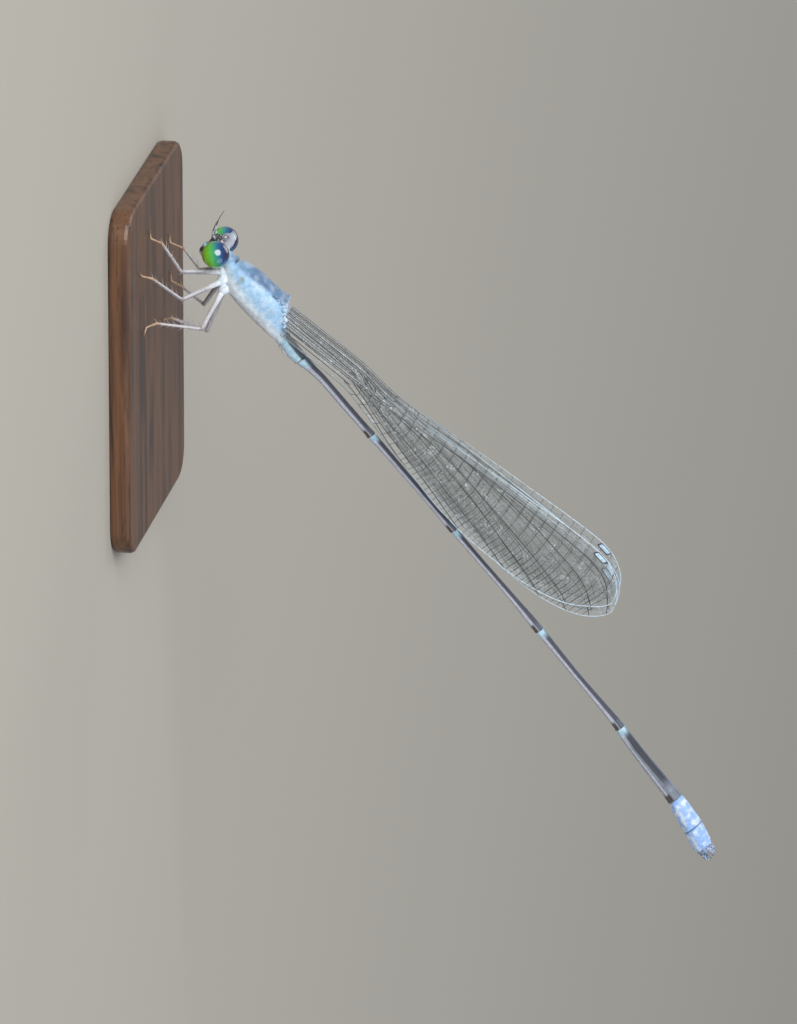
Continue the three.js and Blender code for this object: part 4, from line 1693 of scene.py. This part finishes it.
@dataclass
class Leg:
    """One leg from hip to claws, as one skin, with its bristles."""

    pose: LegPose
    body: Frame
    ground: Frame
    sides: int = 20
    step: float = 0.05
    bristle_spacing: float = 0.33
    bristle_length: float = 0.52
    bristle_radius: float = 0.019
    lines: dict[str, np.ndarray] = field(default_factory=dict)

    def middle_line(self) -> tuple[np.ndarray, np.ndarray, np.ndarray]:
        """The leg's middle line, its radii and the share along its four parts."""
        hip = self.body.out(np.array(self.pose.hip))
        knee, ankle = (self.ground.out(np.array(p)) for p in (self.pose.knee, self.pose.ankle))
        toe_x, toe_y = self.pose.toe
        ax, ay, _ = self.pose.ankle
        landing = self.ground.out(np.array([ax + 0.4 * (toe_x - ax), ay + 0.4 * (toe_y - ay), 0.1]))
        toe = self.ground.out(np.array([toe_x, toe_y, 0.07]))
        thigh = hip + (knee - hip) * 0.16
        stretches = (
            ("hip", hip, thigh, 0.2, 0.15),
            ("femur", thigh, knee, 0.15, 0.12),
            ("tibia", knee, ankle, 0.095, 0.075),
            ("tarsus", ankle, landing, 0.06, 0.05),
            ("foot", landing, toe, 0.05, 0.04),
        )
        points, radii, marks = [], [], []
        for number, (word, start, end, first, last) in enumerate(stretches):
            line = along_polyline(np.array([start, end]), self.step)
            share = np.linspace(0, 1, len(line))
            radius = first + (last - first) * share
            if word in ("femur", "tibia"):
                radius *= 1 + 0.12 * bell(share, 0, 0.06) + 0.1 * bell(share, 1, 0.05)
            if word in ("tarsus", "foot"):
                radius *= 1 - 0.3 * bell(share, 0.5, 0.08)
            self.lines[word] = np.array([start, end])
            keep = slice(0 if number == 0 else 1, None)
            points.append(line[keep])
            radii.append(radius[keep])
            marks.append(number + share[keep])
        path = np.concatenate(points)
        for _ in range(2):
            path[1:-1] = (path[:-2] + 2 * path[1:-1] + path[2:]) / 4
        return path, np.concatenate(radii), np.concatenate(marks)

    def build(self, finish: Material) -> Piece:
        """Makes and paints the leg with its two claws."""
        path, radii, marks = self.middle_line()
        limb = tube(path, radii, self.sides)
        parts = [limb]
        heading = path[-1] - path[-4]
        heading /= np.linalg.norm(heading)
        aside = np.cross(heading, [0, 0, 1.0])
        for sign in (-1, 1):
            start = path[-1] - heading * 0.04
            out = start + heading * 0.1 + aside * 0.07 * sign + np.array([0, 0, 0.03])
            end = start + heading * 0.2 + aside * 0.08 * sign + np.array([0, 0, -0.05])
            claw = along_polyline(np.array([start, out, end]), 0.03)
            parts.append(tube(claw, np.linspace(0.028, 0.006, len(claw)), 8))
        points, faces = gather(parts)
        leg = mesh_piece(f"leg_{self.pose.word}", points, faces, finish)
        claws = len(points) - len(limb[0])
        turn = np.arange(self.sides) * 2 * math.pi / self.sides
        around = np.r_[np.tile(turn, len(path)), np.zeros(claws)]
        paint(leg, "coat", self._coat(np.r_[np.repeat(marks, self.sides), np.full(claws, 5.0)], around))
        return leg

    def _coat(self, along: np.ndarray, around: np.ndarray) -> np.ndarray:
        """Paints the leg.

        Args:
            along: how far down the leg each point is, counted in parts, 5 for the claws.
            around: its angle round the leg.

        Returns:
            A linear colour for each point.
        """
        c = LegCoat()
        coat = np.tile(linear(c.shaft), (len(along), 1))
        lay(coat, c.hip, ramp(along, 1.3, 0.9))
        past_hip = ramp(along, 1.1, 1.4)
        line = ramp(np.cos(around - 1.2), 0.72, 0.95) * past_hip * ramp(along, 3.2, 2.9)
        lay(coat, c.line, 0.55 * line)
        lay(coat, c.under, 0.5 * ramp(np.cos(around + 1.9), 0.6, 0.95) * past_hip)
        lay(coat, c.joint, 0.5 * (bell(along, 2.0, 0.05) + bell(along, 3.0, 0.08)))
        lay(coat, c.foot, 0.9 * ramp(along, 2.75, 3.1))
        lay(coat, c.claw, 0.8 * ramp(along, 4.6, 5.0))
        return coat

    def bristles(self, tree: Tree) -> Piece:
        """The bristles along the femur and tibia, set by the bristle tree."""
        points, edges = [], []
        for word, inset in (("femur", 0.25), ("tibia", 0.12)):
            start, end = self.lines[word]
            along = end - start
            line = along_polyline(np.array([start + along * inset, end - along * 0.05]), 0.1)
            first = len(points)
            points += list(line)
            edges += [(first + i, first + i + 1) for i in range(len(line) - 1)]
        piece = mesh_piece(f"bristles_{self.pose.word}", np.array(points), [], edges=edges)
        numbers = {
            "Spacing": self.bristle_spacing * MM,
            "Length": self.bristle_length * MM,
            "Thickness": self.bristle_radius * MM,
        }
        return grow(piece, tree, numbers)

    @property
    def node_names(self) -> list[str]:
        """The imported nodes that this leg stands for."""
        return [f"{part}_{self.pose.word}" for part in ("femur", "tibia", "tarsus")]


def bristle_tree(finish: Material) -> Tree:
    """A Geometry Nodes tree that sets two rows of stiff bristles along a line.

    Args:
        finish: the bristles' material.

    Returns:
        The tree, with named inputs for spacing, length and thickness.
    """
    tree, entry = new_growth("leg_bristles", ("Spacing", "Length", "Thickness"))
    curve = node(tree, "GeometryNodeMeshToCurve", {"Mesh": entry.outputs["Geometry"]})
    inputs = {"Curve": curve.outputs["Curve"], "Length": entry.outputs["Spacing"]}
    beads = node(tree, "GeometryNodeCurveToPoints", inputs, mode="LENGTH")
    inputs = {
        "Vertices": 5,
        "Radius Top": 0.002 * MM,
        "Radius Bottom": entry.outputs["Thickness"],
        "Depth": entry.outputs["Length"],
    }
    cone = node(tree, "GeometryNodeMeshCone", inputs)
    joined = node(tree, "GeometryNodeJoinGeometry")
    for seed, row in enumerate((-62.0, 62.0)):
        # each bristle's lean in x and its swing round the leg in z
        inputs = {
            0: (math.radians(26), -0.12, math.radians(row - 16)),
            1: (math.radians(50), 0.12, math.radians(row + 16)),
            "Seed": seed + 4,
        }
        wobble = node(tree, "FunctionNodeRandomValue", inputs, data_type="FLOAT_VECTOR")
        angles = node(tree, "ShaderNodeSeparateXYZ", {"Vector": wobble.outputs[0]})
        rotation = beads.outputs["Rotation"]
        for axis in ("Z", "X"):
            euler = node(tree, "ShaderNodeCombineXYZ", {axis: angles.outputs[axis]})
            turn = node(tree, "FunctionNodeEulerToRotation", {"Euler": euler.outputs["Vector"]})
            inputs = {"Rotation": rotation, "Rotate By": turn.outputs["Rotation"]}
            turned = node(tree, "FunctionNodeRotateRotation", inputs, rotation_space="LOCAL")
            rotation = turned.outputs["Rotation"]
        inputs = {2: 0.75, 3: 1.15, "Seed": seed + 9}
        size = node(tree, "FunctionNodeRandomValue", inputs, data_type="FLOAT")
        inputs = {
            "Points": beads.outputs["Points"],
            "Instance": cone.outputs["Mesh"],
            "Rotation": rotation,
            "Scale": size.outputs[1],
        }
        planted = node(tree, "GeometryNodeInstanceOnPoints", inputs)
        tree.links.new(planted.outputs["Instances"], joined.inputs["Geometry"])
    return end_growth(tree, joined.outputs["Geometry"], finish)


# Studio


@dataclass(frozen=True)
class SoftLight:
    """A round soft light: where it stands as the camera sees it, its size and its power."""

    name: str
    toward: Triple
    distance: float
    size: float
    watts: float
    colour: str

    def add(self, aim: np.ndarray, axes: tuple[np.ndarray, ...]) -> None:
        """Adds the light, shining on one place.

        Args:
            aim: the lit place, in metres.
            axes: the picture's right, up and backward directions, along which toward counts.
        """
        data = bpy.data.lights.new(self.name, "AREA")
        data.shape = "DISK"
        data.size = self.size
        data.energy = self.watts
        data.color = linear(self.colour).tolist()
        light = bpy.data.objects.new(self.name, data)
        way = Vector((np.array(self.toward) @ np.stack(axes)).tolist()).normalized()
        light.location = Vector(aim.tolist()) + way * self.distance
        light.rotation_mode = "QUATERNION"
        light.rotation_quaternion = way.to_track_quat("Z", "Y")
        bpy.context.scene.collection.objects.link(light)


@dataclass(frozen=True)
class Studio:
    """Camera, floor and soft lights."""

    base_top: Frame
    azimuth: float = -20.05
    elevation: float = 9.55
    roll: float = -3.5
    lens: float = 400.0
    sensor: float = 36.0
    photo_origin: Pair = (157.5, 285.0)
    depth: float = -2.5
    floor_radius: float = 6.0
    floor_sides: int = 96
    lit_place: Triple = (12.0, 0.0, 14.0)
    sky: str = "#e6e8ea"
    sky_strength: float = 0.34
    lights: tuple[SoftLight, ...] = (
        SoftLight("key", (0.31, 0.33, 0.89), 0.5, 0.46, 3.0, "#fffaf4"),
        SoftLight("fill", (0.5, -0.75, 0.4), 0.6, 0.5, 0.6, "#f1f5ff"),
        SoftLight("rim", (0.8, 0.5, -0.5), 0.6, 0.4, 0.7, "#ffffff"),
    )

    def axes(self) -> tuple[np.ndarray, np.ndarray, np.ndarray]:
        """The picture's right, up and backward directions."""
        a, e, r = (math.radians(v) for v in (self.azimuth, self.elevation, self.roll))
        back = np.array([math.sin(a) * math.cos(e), -math.cos(a) * math.cos(e), math.sin(e)])
        level = np.array([math.cos(a), math.sin(a), 0.0])
        upright = np.cross(back, level)
        right = upright * math.cos(r) + level * math.sin(r)
        return right, np.cross(back, right), back

    def add_camera(self) -> None:
        """Sets up the camera at the photograph's viewing angle and framing."""
        right, up, back = self.axes()
        width, height = PHOTO_SIZE
        aim = (
            right * (width / 2 - self.photo_origin[0]) / PHOTO_PX_PER_MM
            + up * (self.photo_origin[1] - height / 2) / PHOTO_PX_PER_MM
            + back * self.depth
        )
        distance = height / PHOTO_PX_PER_MM * self.lens / self.sensor
        place = self.base_top.out(aim) + back * distance
        data = bpy.data.cameras.new("camera")
        data.lens = self.lens
        data.sensor_width = self.sensor
        data.sensor_fit = "AUTO"
        data.clip_start, data.clip_end = 0.01, 20.0
        camera = bpy.data.objects.new("camera", data)
        turn = np.eye(4)
        turn[:3, 0], turn[:3, 1], turn[:3, 2], turn[:3, 3] = right, up, back, place * MM
        camera.matrix_world = Matrix(turn.tolist())
        bpy.context.scene.collection.objects.link(camera)
        bpy.context.scene.camera = camera

    def build(self) -> None:
        """Adds camera, floor, world and lights."""
        self.add_camera()
        for light in self.lights:
            light.add(self.base_top.out(np.array(self.lit_place)) * MM, self.axes())
        world = bpy.data.worlds.new("studio")
        world.use_nodes = True
        background = world.node_tree.nodes["Background"]
        background.inputs["Color"].default_value = socket_colour(self.sky)
        background.inputs["Strength"].default_value = self.sky_strength
        bpy.context.scene.world = world
        bpy.context.scene.view_settings.view_transform = "Standard"
        turn = np.arange(self.floor_sides) * 2 * math.pi / self.floor_sides
        ring = np.stack([np.cos(turn), np.sin(turn), turn * 0], 1) * self.floor_radius / MM
        face = tuple(range(self.floor_sides))
        mesh_piece("floor", ring, [face], StudioFloor().build())


# Assembly


def dress(piece: Piece, slot: str, *nodes: str) -> None:
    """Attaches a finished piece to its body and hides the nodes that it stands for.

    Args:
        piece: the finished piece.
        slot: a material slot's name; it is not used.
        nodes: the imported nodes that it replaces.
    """
    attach(piece, ROOT_BODY)
    if nodes:
        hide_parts(*nodes)
    faces = sum(len(p.vertices) - 2 for p in piece.data.polygons)
    LOG.info("%s: %d triangles", piece.name, faces)


def main() -> None:
    """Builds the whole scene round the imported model."""
    logging.basicConfig(level=logging.INFO, format="%(name)s %(message)s")
    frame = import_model()
    pose = Pose()
    Studio(pose.base_top()).build()

    frame["nodes"]["stand_base"].data.materials.clear()
    frame["nodes"]["stand_base"].data.materials.append(Walnut().build())

    head = Head(pose.head())
    trunk = Trunk(pose.body(), pose.head())
    skin = trunk.build([head.capsule()])
    trunk_nodes = [f"abdomen_s{i}" for i in range(1, 11)]
    dress(skin, "thorax", "head", "prothorax", "thorax", *trunk_nodes)
    for side in Side:
        dress(head.eye(side), "eye", f"eye_{side.word}")
        dress(head.feeler(side), "feeler", f"antenna_{side.word}")

    membrane, vein = WingMembrane().build(), WingVein().build()
    spot = PlainChitin("wing_spot_chitin", "#b9d3ea", 0.3).build()
    veins = vein_tree(vein)
    for shape in (FORE_WING, HIND_WING):
        for side in Side:
            wing = Wing(pose.wings(), shape, side)
            dress(wing.membrane(membrane), "wing", wing.node_name)
            dress(wing.veins(veins), "wing")
            dress(wing.stigma(spot), "wing")

    leg_finish = Cuticle("leg_cuticle", cloud_mm=0.12, fleck_mm=0.04).build()
    bristle_finish = PlainChitin("bristle_chitin", "#bdbab8", 0.4).build()
    bristles = bristle_tree(bristle_finish)
    for leg_pose in LEGS:
        leg = Leg(leg_pose, pose.body(), pose.base_top())
        dress(leg.build(leg_finish), "leg", *leg.node_names)
        dress(leg.bristles(bristles), "leg")


if __name__ == "__main__":
    main()
